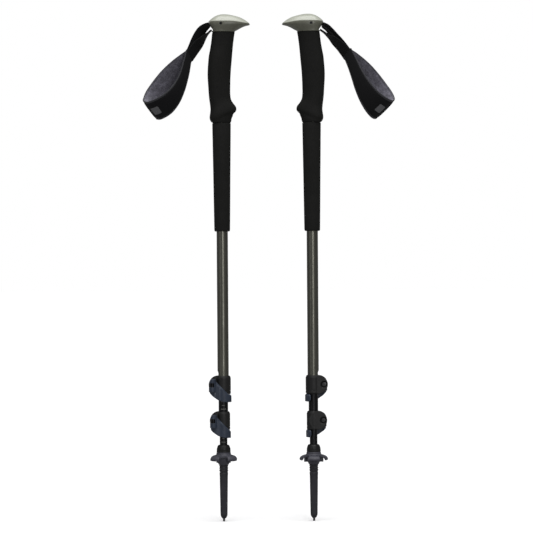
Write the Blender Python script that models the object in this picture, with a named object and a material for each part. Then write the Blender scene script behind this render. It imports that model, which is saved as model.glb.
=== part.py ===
"""A pair of three-section trekking poles, collapsed, standing side by side on their tips.

Sizes are in millimetres and MM turns them into metres. Z is up. Each pole is drawn about its
own axis with its front, where the beak of the cap points, at +X. The left pole stands with
its front to the right, and the right pole is turned half round, so that its front is to the
left. Each section slides out of the one below it, so the lower section is what stays put.
"""

import math
from collections import namedtuple

import bmesh
import bpy
from mathutils import Matrix, Vector

MM = 0.001

# Fits
GAP = 0.3  # between faces that touch, or that turn or slide on each other
BUSH_GAP = 0.25  # radial, between a guide bush and the tube it runs in

# Standing
POLE_SPACING = 122.4
PAIR_CENTRE = (-2.8, 4.9)  # midway between the poles; it centres the pair, straps included, on 0, 0
SIDES = 20

# Tubes
UPPER_TUBE_DIAMETER = 15.3
MIDDLE_TUBE_DIAMETER = 12.9
LOWER_TUBE_DIAMETER = 10.4
TUBE_WALL = 0.7
BUSH_LENGTH = 14.0
BUSH_RIM = 2.0

# Heights, from the tip up
CARBIDE_SHOWN = 4.2
CARBIDE_DIAMETER = 3.0
TIP_CONE = 5.0
TIP_LENGTH = 67.0
TIP_DIAMETER_LOW = 9.6
TIP_DIAMETER_HIGH = 11.6
NECK_SHOWN = 10.0
NECK_DIAMETER = 12.4
THREAD_DEPTH = 0.6
THREAD_PITCH = 3.2
BASKET_HEIGHT = 17.0
BASKET_DIAMETER = 38.9
BASKET_HUB_DIAMETER = 19.6
PETALS = 4
DOME_HEIGHT = 10.0
LOWER_GAP = 9.8  # dome to the lower lever's end
MIDDLE_GAP = 13.0  # lower collar to the upper lever's end
TUBE_SHOWN = 196.0  # upper collar to the foam
EXTENSION_LENGTH = 147.5
GRIP_LENGTH = 123.2

# Lever lock, measured from its screw
LOCK_ABOVE = 12.4
LOCK_BELOW = 23.2
COLLAR_WALL = 2.7
COLLAR_LIP = 3.4
EAR_RADIUS = 12.4
EAR_BACK = 5.5
EAR_FRONT = 9.0
COLLAR_SLIT = 1.8
SCREW_DIAMETER = 3.0
SCREW_HEAD_DIAMETER = 6.8
SCREW_HEAD_HEIGHT = 2.3
SCREW_FROM_COLLAR = 4.2
NUT_DIAMETER = 5.8
HUB_WALL = 1.5
HUB_ABOVE = 8.3
HUB_BELOW = 9.4
LEVER_THICKNESS = 2.2
LEVER_WINDOW = 5.4

# Grip and cap
CORE_WALL = 0.9
FOAM_RIM = 10.7
CAP_STEM = 9.0
CAP_BODY_HEIGHT = 13.3
PIN_DIAMETER = 3.0
PIN_ABOVE_GRIP = 10.3
WEBBING_WIDTH = 16.4
WEBBING_THICKNESS = 1.6
PAD_WIDTH = 31.0
PAD_THICKNESS = 3.6

# What follows from those sizes
UPPER_RADIUS = UPPER_TUBE_DIAMETER / 2
MIDDLE_RADIUS = MIDDLE_TUBE_DIAMETER / 2
LOWER_RADIUS = LOWER_TUBE_DIAMETER / 2
BASKET_BOTTOM = TIP_LENGTH + NECK_SHOWN
BASKET_TOP = BASKET_BOTTOM + BASKET_HEIGHT
DOME_TOP = BASKET_TOP + DOME_HEIGHT
LOWER_LOCK = DOME_TOP + LOWER_GAP + LOCK_BELOW
UPPER_LOCK = LOWER_LOCK + LOCK_ABOVE + MIDDLE_GAP + LOCK_BELOW
FOAM_BOTTOM = UPPER_LOCK + LOCK_ABOVE + TUBE_SHOWN
GRIP_BOTTOM = FOAM_BOTTOM + EXTENSION_LENGTH
GRIP_TOP = GRIP_BOTTOM + GRIP_LENGTH
CAP_BOTTOM = GRIP_TOP + GAP
CAP_SEAM = CAP_BOTTOM + CAP_BODY_HEIGHT
PIN_HEIGHT = CAP_BOTTOM + PIN_ABOVE_GRIP
TUBE_END = LOCK_ABOVE - COLLAR_LIP - 1.4  # how far below its lock's screw a tube ends
UPPER_TUBE_TOP = CAP_BOTTOM - CAP_STEM - GAP
MIDDLE_TUBE_TOP = UPPER_TUBE_TOP - 17.0
LOWER_TUBE_TOP = MIDDLE_TUBE_TOP - 42.0
SOCKET_TOP = BASKET_BOTTOM + 3.0  # top of the ferrule's socket for the flex tip
LOWER_TUBE_BOTTOM = SOCKET_TOP + 4.0

# The grip's outline: height above its bottom, then the front, the back and the half width
GRIP_OUTLINE = (
    (0.0, 12.4, 12.4, 12.4),
    (2.5, 13.3, 14.8, 13.4),
    (6.5, 14.1, 16.1, 14.4),
    (10.5, 16.5, 15.8, 14.7),
    (14.5, 19.4, 15.2, 14.4),
    (18.5, 20.4, 14.9, 13.8),
    (22.5, 19.4, 15.2, 13.2),
    (27.0, 15.9, 15.7, 12.9),
    (32.0, 13.2, 16.4, 12.8),
    (38.0, 12.3, 17.0, 12.9),
    (46.0, 12.2, 17.5, 13.1),
    (66.5, 12.9, 18.5, 13.6),
    (88.5, 14.8, 17.0, 13.6),
    (99.0, 15.7, 15.1, 13.3),
    (110.0, 16.9, 13.3, 13.0),
    (120.0, 18.3, 12.2, 12.9),
    (123.2, 19.2, 11.6, 12.9),
)
# The cap's two shells: height above their seam, then the front, the back and the half width
CAP_BODY_OUTLINE = (
    (-13.3, 18.6, 11.8, 13.3),
    (-10.9, 22.0, 12.6, 13.9),
    (-8.3, 26.3, 13.7, 14.7),
    (-6.1, 30.5, 15.0, 15.5),
    (-3.8, 36.2, 16.6, 16.2),
    (-1.7, 39.2, 17.7, 16.6),
    (0.0, 39.3, 17.8, 16.6),
)
CAP_TOP_OUTLINE = (
    (0.3, 39.2, 17.4, 16.6),
    (2.4, 37.0, 15.6, 15.7),
    (4.6, 32.6, 13.0, 14.1),
    (6.9, 26.0, 9.6, 11.6),
    (8.9, 18.6, 5.6, 8.2),
    (10.2, 12.0, 1.8, 4.6),
    (10.8, 7.0, -1.4, 1.8),
)
BROADEST = 0.36  # where a section is broadest, as a share of its length from the back
CAP_BACK = 0.7  # how blunt the cap's back is

# The lever's leaf: its lower edge as distance in front of the pole's axis, height from the screw
LEAF_LOWER_EDGE = ((-18.5, -9.6), (-13.6, -15.3), (-6.8, -20.2), (0.0, -22.6), (6.0, -23.2))
LEAF_TOP_SLOPE = 0.98
LEAF_END_ANGLE = 68.0

# A strap: the route of its upper run of webbing and of its padded loop, with heights from the
# cap's bottom edge, and how the pad's width lies at its waist and round the wrist. Each point
# of the webbing also has its twist in degrees and how far off the lower run is. The near side,
# at -Y, is the side of the lever on the left pole.
Strap = namedtuple("Strap", "webbing pad waist_lie pad_lie")
LEFT_STRAP = Strap(
    webbing=(
        (-16.1, 0.0, 9.2, 0, 7.0),
        (-24.8, 0.0, 4.2, 45, 10.0),
        (-29.2, 0.0, -2.9, 75, 7.6),
        (-33.2, 0.0, -13.2, 88, 3.5),
        (-37.8, 0.0, -23.8, 90, 2.6),
        (-42.8, 0.0, -32.4, 90, 2.1),
    ),
    pad=(
        (-45.4, -5.2, -36.0),
        (-50.0, -10.5, -49.0),
        (-55.0, -16.0, -65.0),
        (-61.1, -20.8, -80.5),
        (-69.0, -24.4, -93.6),
        (-78.8, -25.5, -102.4),
        (-89.6, -21.5, -107.0),
        (-95.4, -12.0, -106.2),
        (-96.6, -1.0, -101.6),
        (-93.6, 8.5, -92.2),
        (-86.4, 14.5, -80.4),
        (-75.0, 15.5, -66.0),
        (-62.4, 11.0, -52.0),
        (-51.4, 5.6, -41.0),
        (-46.2, 3.4, -35.8),
    ),
    waist_lie=(0.36, 0.25, -0.90),
    pad_lie=(0.49, 0.56, -0.665),
)
RIGHT_STRAP = Strap(
    webbing=(
        (-16.1, 0.0, 9.2, 0, 7.0),
        (-24.6, 0.0, 3.6, 45, 8.0),
        (-30.6, 0.0, -4.2, 75, 5.5),
        (-36.4, 0.0, -12.8, 88, 3.5),
        (-42.4, 0.0, -21.4, 90, 2.6),
        (-48.6, 0.0, -29.2, 90, 2.1),
    ),
    pad=(
        (-51.4, -5.2, -32.4),
        (-58.4, -10.5, -44.4),
        (-64.4, -16.0, -58.2),
        (-70.0, -20.8, -72.6),
        (-76.6, -24.4, -86.0),
        (-84.2, -25.5, -97.4),
        (-91.8, -21.5, -105.2),
        (-98.0, -12.0, -106.8),
        (-100.2, -1.0, -102.6),
        (-98.0, 8.5, -93.4),
        (-91.4, 14.5, -81.6),
        (-81.4, 15.5, -67.6),
        (-70.2, 11.0, -53.8),
        (-58.4, 5.6, -39.8),
        (-52.0, 3.4, -32.2),
    ),
    waist_lie=(0.50, 0.20, -0.84),
    pad_lie=(0.66, 0.37, -0.65),
)

# Each finish: colour, roughness, metallic
FOAM = ((0.011, 0.011, 0.0105), 0.9, 0.0)
CORE_PLASTIC = ((0.02, 0.02, 0.02), 0.5, 0.0)
TUBE_METAL = ((0.13, 0.13, 0.105), 0.34, 0.9)
DARK_TUBE_METAL = ((0.035, 0.034, 0.033), 0.36, 0.9)
COLLAR_PLASTIC = ((0.018, 0.018, 0.018), 0.45, 0.0)
LEVER_PLASTIC = ((0.030, 0.038, 0.055), 0.4, 0.0)
BASKET_PLASTIC = ((0.055, 0.055, 0.068), 0.5, 0.0)
TIP_PLASTIC = ((0.025, 0.025, 0.029), 0.5, 0.0)
CARBIDE = ((0.12, 0.12, 0.125), 0.35, 1.0)
STEEL = ((0.30, 0.30, 0.31), 0.3, 1.0)
DARK_STEEL = ((0.05, 0.05, 0.05), 0.35, 1.0)
CAP_SHELL = ((0.19, 0.19, 0.15), 0.35, 0.0)
CAP_DOME = ((0.64, 0.66, 0.58), 0.3, 0.0)
BUSH_PLASTIC = ((0.5, 0.5, 0.48), 0.5, 0.0)
WEBBING = ((0.013, 0.013, 0.013), 0.85, 0.0)
PAD_CLOTH = ((0.02, 0.02, 0.022), 0.9, 0.0)

Pivot = namedtuple("Pivot", "empty at")


# ---------------------------------------------------------------- helpers


def turned(profile, sides=SIDES, closed=False):
    """Turn a profile of (radius, height) points about Z; closed joins its last point to its first."""
    shape = bmesh.new()
    verts = [shape.verts.new((radius, 0.0, height)) for radius, height in profile]
    edges = [shape.edges.new(pair) for pair in zip(verts, verts[1:])]
    if closed:
        edges.append(shape.edges.new((verts[-1], verts[0])))
    bmesh.ops.spin(
        shape,
        geom=verts + edges,
        cent=(0, 0, 0),
        axis=(0, 0, 1),
        angle=2 * math.pi,
        steps=sides,
        use_merge=True,
    )
    bmesh.ops.remove_doubles(shape, verts=shape.verts, dist=0.001)
    bmesh.ops.recalc_face_normals(shape, faces=shape.faces)
    return shape


def lofted(rings, closed=False):
    """Skin a row of equal rings; closed joins the last ring to the first in place of end faces."""
    shape = bmesh.new()
    rows = [[shape.verts.new(point) for point in ring] for ring in rings]
    pairs = list(zip(rows, rows[1:]))
    if closed:
        pairs.append((rows[-1], rows[0]))
    for low, high in pairs:
        for i in range(len(low)):
            j = (i + 1) % len(low)
            shape.faces.new((low[i], low[j], high[j], high[i]))
    if not closed:
        shape.faces.new(rows[0])
        shape.faces.new(rows[-1])
    bmesh.ops.recalc_face_normals(shape, faces=shape.faces)
    return shape


def block(low, high):
    """A box between two corners."""
    shape = bmesh.new()
    size = [top - bottom for bottom, top in zip(low, high)]
    centre = [(top + bottom) / 2 for bottom, top in zip(low, high)]
    where = Matrix.Translation(centre) @ Matrix.Diagonal((*size, 1))
    bmesh.ops.create_cube(shape, size=1.0, matrix=where)
    return shape


def rod(radius, start, end, sides=SIDES):
    """A plain cylinder from one point to another."""
    start, end = Vector(start), Vector(end)
    shape = bmesh.new()
    turn = (end - start).to_track_quat("Z", "Y").to_matrix().to_4x4()
    bmesh.ops.create_cone(
        shape,
        cap_ends=True,
        segments=sides,
        radius1=radius,
        radius2=radius,
        depth=(end - start).length,
        matrix=Matrix.Translation((start + end) / 2) @ turn,
    )
    return shape


def egg(front, back, half_width, height, sides, bluntness=1.0):
    """A ring at one height: two half ellipses that meet where the section is broadest.

    A bluntness below 1 squares off the back half.
    """
    broadest = -back + BROADEST * (front + back)
    ring = []
    for i in range(sides):
        angle = 2 * math.pi * i / sides
        along, across = math.cos(angle), half_width * math.sin(angle)
        if along > 0:
            ring.append((broadest + (front - broadest) * along, across, height))
        else:
            ring.append((broadest - (broadest + back) * (-along) ** bluntness, across, height))
    return ring


def curve_through(points, steps):
    """Points along a smooth curve through the given ones, steps to each stretch."""
    points = [Vector(point) for point in points]
    ends = [2 * points[0] - points[1], *points, 2 * points[-1] - points[-2]]
    found = []
    for before, start, end, after in zip(ends, ends[1:], ends[2:], ends[3:]):
        for i in range(steps):
            t = i / steps
            found.append(
                0.5
                * (
                    2 * start
                    + (end - before) * t
                    + (2 * before - 5 * start + 4 * end - after) * t * t
                    + (3 * start - before - 3 * end + after) * t * t * t
                )
            )
    return found + [points[-1]]


def mirrored(point, side, base=0.0):
    """A strap's point, on the pole where its near side is at -Y (side 1) or at +Y (side -1)."""
    return Vector((point[0], point[1] * side, point[2] + base))


def ribbon(route, lies, widths, thickness):
    """A flat band along a route, where each point has its own width and the way its width lies."""
    rings = []
    for i, (point, lie, width) in enumerate(zip(route, lies, widths)):
        along = (route[min(i + 1, len(route) - 1)] - route[max(i - 1, 0)]).normalized()
        across = (lie - lie.dot(along) * along).normalized() * width / 2
        up = along.cross(across).normalized() * thickness / 2
        rings.append([point - across - up, point + across - up, point + across + up, point - across + up])
    return lofted(rings)


# ---------------------------------------------------------------- placing


def pivot(name, at, parent=None):
    """An empty at a joint, given in the pole's own frame."""
    empty = bpy.data.objects.new(name, None)
    bpy.context.scene.collection.objects.link(empty)
    empty.empty_display_size = 10 * MM
    base = Vector((0, 0, 0))
    if parent:
        empty.parent = parent.empty
        base = parent.at
    empty.location = (Vector(at) - base) * MM
    return Pivot(empty, Vector(at))


def add(name, shape, mount):
    """Make an object of a shape drawn in the pole's frame, hung on a pivot."""
    bmesh.ops.translate(shape, verts=shape.verts, vec=-mount.at)
    bmesh.ops.scale(shape, verts=shape.verts, vec=(MM, MM, MM))
    mesh = bpy.data.meshes.new(name)
    shape.to_mesh(mesh)
    shape.free()
    made = bpy.data.objects.new(name, mesh)
    bpy.context.scene.collection.objects.link(made)
    made.parent = mount.empty
    return made


def piece(name, shape, mount, finish):
    """A sub-part, with a material of its own."""
    made = add(name, shape, mount)
    made.data.shade_smooth()
    made.data.set_sharp_from_angle(angle=math.radians(32))
    colour, roughness, metallic = finish
    material = bpy.data.materials.new(name)
    material.use_nodes = True
    shader = material.node_tree.nodes["Principled BSDF"]
    shader.inputs["Base Color"].default_value = (*colour, 1)
    shader.inputs["Roughness"].default_value = roughness
    shader.inputs["Metallic"].default_value = metallic
    made.data.materials.append(material)
    return made


def combine(made, kind, shape, mount):
    """Join a helper shape to a piece, or cut it out of it."""
    helper = add(f"{made.name}_{kind.lower()}_{len(made.modifiers)}", shape, mount)
    helper.hide_render = True
    helper.display_type = "WIRE"
    boolean = made.modifiers.new(helper.name, "BOOLEAN")
    boolean.operation = kind
    boolean.solver = "EXACT"
    boolean.object = helper


# ---------------------------------------------------------------- lower section


def carbide_tip(name, mount):
    """The hard insert that bites the ground: a short rod with a flat, slightly narrowed end."""
    radius = CARBIDE_DIAMETER / 2
    socket = CARBIDE_SHOWN + 10.0
    profile = ((0, socket), (radius, socket), (radius, 0.9), (radius - 0.3, 0.0), (0, 0.0))
    piece(name, turned(profile, 16), mount, CARBIDE)


def flex_tip(name, mount):
    """The replaceable plastic tip: a taper over the insert, with a stud that plugs into the ferrule."""
    bore = CARBIDE_DIAMETER / 2 + GAP
    stud = NECK_DIAMETER / 2 - 3.0
    profile = (
        (0, SOCKET_TOP - GAP),
        (stud - 0.4, SOCKET_TOP - GAP),
        (stud, SOCKET_TOP - GAP - 0.6),
        (stud, TIP_LENGTH - GAP),
        (TIP_DIAMETER_HIGH / 2, TIP_LENGTH - GAP),
        (TIP_DIAMETER_LOW / 2, CARBIDE_SHOWN + TIP_CONE),
        (TIP_DIAMETER_LOW / 2 - 1.3, CARBIDE_SHOWN + TIP_CONE / 2),
        (bore + 0.5, CARBIDE_SHOWN),
        (bore, CARBIDE_SHOWN),
        (bore, CARBIDE_SHOWN + 10.0 + GAP),
        (0, CARBIDE_SHOWN + 10.0 + GAP),
    )
    piece(name, turned(profile), mount, TIP_PLASTIC)


def ferrule(name, mount):
    """The sleeve glued on the lower tube: a dome that stops the basket, and a neck with a thread."""
    neck = NECK_DIAMETER / 2
    socket = neck - 3.0 + GAP
    bore = LOWER_RADIUS + GAP
    dome = BASKET_HUB_DIAMETER / 2 - 0.2
    profile = [
        (0, LOWER_TUBE_BOTTOM - GAP),
        (bore, LOWER_TUBE_BOTTOM - GAP),
        (bore, DOME_TOP),
        (dome - 2.4, DOME_TOP),
        (dome - 1.5, DOME_TOP - 1.2),
        (dome - 0.5, DOME_TOP - 5.0),
        (dome, BASKET_TOP + 1.6),
        (dome, BASKET_TOP + GAP),
        (neck - THREAD_DEPTH, BASKET_TOP + GAP),
        (neck - THREAD_DEPTH, BASKET_BOTTOM - 0.4),
    ]
    for ring in range(3):
        crest = BASKET_BOTTOM - 0.6 - ring * THREAD_PITCH
        profile += [
            (neck, crest - 0.8),
            (neck - THREAD_DEPTH, crest - 2.2),
        ]
    profile += [
        (neck - THREAD_DEPTH, TIP_LENGTH),
        (socket, TIP_LENGTH),
        (socket, SOCKET_TOP),
        (0, SOCKET_TOP),
    ]
    piece(name, turned(profile), mount, TIP_PLASTIC)


def basket(name, mount, first_petal):
    """The mud basket: a hub screwed on the neck, with a drooping flange cut into petals."""
    bore = NECK_DIAMETER / 2 - THREAD_DEPTH + GAP
    hub = BASKET_HUB_DIAMETER / 2
    reach = BASKET_DIAMETER / 2
    low = BASKET_BOTTOM
    profile = (
        (bore, BASKET_TOP),
        (hub - 0.6, BASKET_TOP),
        (hub - 0.1, low + 14.0),
        (hub + 2.4, low + 13.0),
        (reach - 4.2, low + 12.4),
        (reach - 1.4, low + 10.2),
        (reach, low + 6.8),
        (reach - 1.7, low + 7.4),
        (reach - 3.2, low + 9.4),
        (reach - 5.6, low + 10.4),
        (hub + 1.6, low + 10.2),
        (hub, low + 8.6),
        (hub - 0.4, low + 6.4),
        (hub - 2.2, low + 2.4),
        (bore + 0.7, low),
        (bore, low),
    )
    made = piece(name, turned(profile, closed=True), mount, BASKET_PLASTIC)
    notches = bmesh.new()
    notch = 5.4
    for i in range(PETALS):
        angle = math.radians(first_petal + 360 * (i + 0.5) / PETALS)
        at = Vector((math.cos(angle), math.sin(angle), 0)) * (hub + notch + 3.2)
        bmesh.ops.create_cone(
            notches,
            cap_ends=True,
            segments=14,
            radius1=notch,
            radius2=notch,
            depth=20.0,
            matrix=Matrix.Translation(at + Vector((0, 0, low + 9.0))),
        )
    combine(made, "DIFFERENCE", notches, mount)


def tube(name, mount, radius, bottom, top, finish):
    """A drawn tube, open at both ends."""
    inner = radius - TUBE_WALL
    profile = ((radius, top), (radius, bottom), (inner, bottom), (inner, top))
    return piece(name, turned(profile, closed=True), mount, finish)


def bush(name, mount, tube_radius, runs_in, top):
    """The guide bush plugged in a tube's top end, whose rim runs inside the next tube."""
    plug = tube_radius - TUBE_WALL - GAP
    rim = runs_in - BUSH_GAP
    low = top + GAP
    profile = (
        (rim - 0.4, low + BUSH_RIM),
        (rim, low + BUSH_RIM - 0.4),
        (rim, low),
        (plug, low),
        (plug, low - BUSH_LENGTH),
        (plug - 1.4, low - BUSH_LENGTH),
        (plug - 1.4, low + BUSH_RIM),
    )
    piece(name, turned(profile, closed=True), mount, BUSH_PLASTIC)


# ---------------------------------------------------------------- lever lock


def slit(made, mount, radius, bottom, top, relief):
    """The slit at the back of a tube's end, and its round relief, so that the collar can squeeze it."""
    combine(made, "DIFFERENCE", block((-radius - 2, -0.8, bottom - 1), (-radius + 2, 0.8, top)), mount)
    combine(made, "DIFFERENCE", rod(relief, (-radius - 2, 0, top), (-radius + 3, 0, top), 16), mount)


def lock_collar(name, mount, outer, inner, height):
    """The clamp: a ring on the outer tube with two round ears behind it and a slit between them."""
    radius = outer + COLLAR_WALL
    bottom, top = height - LOCK_ABOVE, height + LOCK_ABOVE
    shoulder = bottom + COLLAR_LIP
    profile = ((0, top), (outer + 1.2, top), (radius, top - 2.6), (radius, bottom + 0.8))
    body = turned(profile + ((radius - 0.7, bottom), (0, bottom)))
    made = piece(name, body, mount, COLLAR_PLASTIC)
    ear = ear_centre(radius)
    combine(made, "UNION", rod(EAR_RADIUS, (ear, -EAR_BACK, height), (ear, EAR_FRONT, height), 28), mount)
    low, high = bottom - 5, top + 5
    bore = ((0, high), (outer + GAP, high), (outer + GAP, shoulder), (inner + GAP, shoulder))
    combine(made, "DIFFERENCE", turned(bore + ((inner + GAP, low), (0, low))), mount)
    half = COLLAR_SLIT / 2
    combine(made, "DIFFERENCE", block((-60, -half, low), (-inner, half, high)), mount)
    screw = screw_place(radius)
    hole = SCREW_DIAMETER / 2 + GAP
    combine(made, "DIFFERENCE", rod(hole, (screw, -20, height), (screw, 20, height), 16), mount)
    recess = SCREW_HEAD_DIAMETER / 2 + 0.6
    floor = EAR_FRONT - SCREW_HEAD_HEIGHT - 2 * GAP
    combine(made, "DIFFERENCE", rod(recess, (screw, floor, height), (screw, 20, height), 20), mount)


def ear_centre(radius):
    """How far behind the pole's axis the ears' round outline is centred."""
    return -(radius - 3.1)


def screw_place(radius):
    """How far behind the pole's axis the lock's screw is."""
    return -(radius + SCREW_FROM_COLLAR)


def hub_centre():
    """Where the barrel nut and the lever turn, beside the ears."""
    return -(EAR_BACK + GAP + NUT_DIAMETER / 2 + GAP + HUB_WALL)


def lock_screw(name, mount, radius, height):
    """The tension screw: its head sits in the front ear and its end is in the barrel nut."""
    screw = screw_place(radius)
    head = EAR_FRONT - SCREW_HEAD_HEIGHT - GAP
    profile = (
        (0, head + SCREW_HEAD_HEIGHT - 1.2),
        (1.3, head + SCREW_HEAD_HEIGHT - 1.2),
        (1.3, head + SCREW_HEAD_HEIGHT),
        (SCREW_HEAD_DIAMETER / 2 - 0.4, head + SCREW_HEAD_HEIGHT),
        (SCREW_HEAD_DIAMETER / 2, head + SCREW_HEAD_HEIGHT - 0.5),
        (SCREW_HEAD_DIAMETER / 2, head),
        (SCREW_DIAMETER / 2, head),
        (SCREW_DIAMETER / 2, hub_centre() - 1.9),
        (0, hub_centre() - 1.9),
    )
    shape = turned(profile, 18)
    lay = Matrix.Translation((screw, 0, height)) @ Matrix.Rotation(-math.pi / 2, 4, "X")
    bmesh.ops.transform(shape, matrix=lay, verts=shape.verts)
    piece(name, shape, mount, STEEL)


def barrel_nut(name, mount, radius, height):
    """The round nut that stands in the lever's hub: the screw ends in it and the lever turns on it."""
    screw, hub = screw_place(radius), hub_centre()
    ends = ((screw, hub, height - HUB_BELOW + 0.8), (screw, hub, height + HUB_ABOVE - 0.8))
    made = piece(name, rod(NUT_DIAMETER / 2, *ends, 18), mount, DARK_STEEL)
    hole = SCREW_DIAMETER / 2 + 0.2
    start, end = (screw, hub - 2.1, height), (screw, hub + NUT_DIAMETER, height)
    combine(made, "DIFFERENCE", rod(hole, start, end, 14), mount)


def between(points, x):
    """The height of an outline at x, on straight stretches between its points."""
    for (x0, z0), (x1, z1) in zip(points, points[1:]):
        if x <= x1:
            share = max(0.0, (x - x0) / (x1 - x0))
            return z0 + share * (z1 - z0)
    return points[-1][1]


def lock_lever(name, mount, radius, height):
    """The lever: a leaf that hugs the collar and hooks round below it, with a hub on the barrel nut."""
    screw, hub = screw_place(radius), hub_centre()
    half = LEVER_THICKNESS / 2
    beside = radius + GAP + half  # where the leaf passes the collar
    below = radius - 0.5  # where it hooks round under the collar
    hub_reach = math.hypot(screw, hub)
    hub_angle = math.degrees(math.atan2(hub, screw))
    under = -LOCK_ABOVE - 0.5
    stations = [hub_angle - 7] + [hub_angle + (-104 - hub_angle) * i / 3 for i in range(3)]
    stations += [-104, -88, -72, -56, -44, -32, -20, -6, 10, 26, 42, 54, 62, LEAF_END_ANGLE]
    rings = []
    for angle in stations:
        turn = math.radians(angle)
        ease = min(max((angle + 34) / 28, 0.0), 1.0)
        reach = beside + (below - beside) * ease * ease * (3 - 2 * ease)
        if angle < -104:
            share = (angle - hub_angle) / (-104 - hub_angle)
            reach = hub_reach + (beside - hub_reach) * math.sin(share * math.pi / 2)
        x = reach * math.cos(turn)
        top = max(HUB_ABOVE - LEAF_TOP_SLOPE * max(x - screw - 1.0, 0.0), under)
        bottom = between(LEAF_LOWER_EDGE, x) if angle < 0 else LEAF_LOWER_EDGE[-1][1]
        if angle > -20:
            top = under
        rounding = max(angle - 48, 0) / (LEAF_END_ANGLE - 48)
        pinch = 3.2 * (1 - math.sqrt(max(1 - rounding * rounding, 0.0)))
        top, bottom = top - pinch, bottom + pinch
        soft = 0.6
        outline = (
            (-half, bottom + soft),
            (-half + soft, bottom),
            (half - soft, bottom),
            (half, bottom + soft),
            (half, top - soft),
            (half - soft, top),
            (-half + soft, top),
            (-half, top - soft),
        )
        ring = [(reach + out, height + z) for out, z in outline]
        rings.append([(r * math.cos(turn), r * math.sin(turn), z) for r, z in ring])
    made = piece(name, lofted(rings), mount, LEVER_PLASTIC)
    bore = NUT_DIAMETER / 2 + GAP
    ends = ((screw, hub, height - HUB_BELOW), (screw, hub, height + HUB_ABOVE))
    combine(made, "UNION", rod(bore + HUB_WALL, *ends, 24), mount)
    up_through = ((screw, hub, height - HUB_BELOW + 0.5), (screw, hub, height + 30))
    combine(made, "DIFFERENCE", rod(bore, *up_through, 20), mount)
    window = LEVER_WINDOW / 2
    low, high = (screw - 12, hub - 12, height - window), (screw + 2.4, hub + 9, height + window)
    combine(made, "DIFFERENCE", block(low, high), mount)


def lever_lock(prefix, section, outer, inner, height):
    """One lever lock on the bottom end of an outer tube."""
    radius = outer + COLLAR_WALL
    screw = screw_place(radius)
    lock_collar(f"{prefix}_collar", section, outer, inner, height)
    barrel_nut(f"{prefix}_barrel_nut", section, radius, height)
    turn = pivot(f"{prefix}_screw_axis", (screw, 0, height), section)
    lock_screw(f"{prefix}_screw", turn, radius, height)
    swing = pivot(f"{prefix}_lever_axis", (screw, hub_centre(), height), section)
    lock_lever(f"{prefix}_lever", swing, radius, height)


# ---------------------------------------------------------------- grip, cap and strap


def extension_foam(name, mount):
    """The long straight foam sleeve below the grip, a little stouter towards the grip."""
    bore = UPPER_RADIUS + GAP
    top = GRIP_BOTTOM - GAP
    profile = (
        (FOAM_RIM + 1.9, top),
        (FOAM_RIM + 0.9, FOAM_BOTTOM + EXTENSION_LENGTH / 2),
        (FOAM_RIM, FOAM_BOTTOM + 1.5),
        (FOAM_RIM - 0.9, FOAM_BOTTOM),
        (bore, FOAM_BOTTOM),
        (bore, top),
    )
    piece(name, turned(profile, closed=True), mount, FOAM)


def grip_foam(name, mount):
    """The shaped foam grip: a finger ledge at its foot, a palm swell, and a flare under the cap."""
    bore = UPPER_RADIUS + GAP + CORE_WALL + GAP
    sides = 18
    share = GRIP_LENGTH / GRIP_OUTLINE[-1][0]
    rings = [egg(f, b, w, GRIP_BOTTOM + z * share, sides) for z, f, b, w in GRIP_OUTLINE]
    for height in (GRIP_TOP, GRIP_BOTTOM):
        turns = [2 * math.pi * i / sides for i in range(sides)]
        rings.append([(bore * math.cos(turn), bore * math.sin(turn), height) for turn in turns])
    piece(name, lofted(rings, closed=True), mount, FOAM)


def grip_core(name, mount):
    """The plastic sleeve between the upper tube and the grip foam, which also takes the cap's stem."""
    inner = UPPER_RADIUS + GAP
    outer = inner + CORE_WALL
    bottom, top = GRIP_BOTTOM + 4.0, GRIP_TOP
    profile = ((outer, top), (outer, bottom), (inner, bottom), (inner, top))
    piece(name, turned(profile, closed=True), mount, CORE_PLASTIC)


def cap_body(name, mount):
    """The cap's lower shell, with a stem down into the core and a channel for the strap."""
    rings = [egg(f, b, w, CAP_SEAM + z, 24, CAP_BACK) for z, f, b, w in CAP_BODY_OUTLINE]
    made = piece(name, lofted(rings), mount, CAP_SHELL)
    stem = ((0, 0, CAP_BOTTOM - CAP_STEM), (0, 0, CAP_BOTTOM + 0.8))
    combine(made, "UNION", rod(UPPER_RADIUS - GAP, *stem), mount)
    half = WEBBING_WIDTH / 2 + 0.8
    low, high = (-40, -half, CAP_BOTTOM + 1.4), (5.5, half, CAP_SEAM + 20)
    combine(made, "DIFFERENCE", block(low, high), mount)
    hole = PIN_DIAMETER / 2 + GAP
    ends = ((0, -40, PIN_HEIGHT), (0, 40, PIN_HEIGHT))
    combine(made, "DIFFERENCE", rod(hole, *ends, 16), mount)


def cap_top(name, mount):
    """The cap's pale domed lid, hollow over the strap pin."""
    rings = [egg(f, b, w, CAP_SEAM + z, 24, CAP_BACK) for z, f, b, w in CAP_TOP_OUTLINE]
    made = piece(name, lofted(rings), mount, CAP_DOME)
    half = WEBBING_WIDTH / 2 + 0.8
    low, high = (-8.0, -half, CAP_SEAM - 10), (6.5, half, CAP_SEAM + 4.2)
    combine(made, "DIFFERENCE", block(low, high), mount)


def strap_pin(name, mount):
    """The steel pin across the cap that the strap loops round."""
    half = CAP_BODY_OUTLINE[-1][3] - 2.0
    ends = ((0, -half, PIN_HEIGHT), (0, half, PIN_HEIGHT))
    piece(name, rod(PIN_DIAMETER / 2, *ends, 14), mount, DARK_STEEL)


def strap_wedge(name, mount):
    """The wedge between the strap's two runs, which jams them in the cap."""
    half = WEBBING_WIDTH / 2
    low = CAP_BOTTOM + 4.6
    rings = []
    for x, height in ((-11.4, 2.9), (-10.8, 3.1), (-5.6, 2.6)):
        rings.append([(x, -half, low), (x, half, low), (x, half, low + height), (x, -half, low + height)])
    piece(name, lofted(rings), mount, CORE_PLASTIC)


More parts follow.
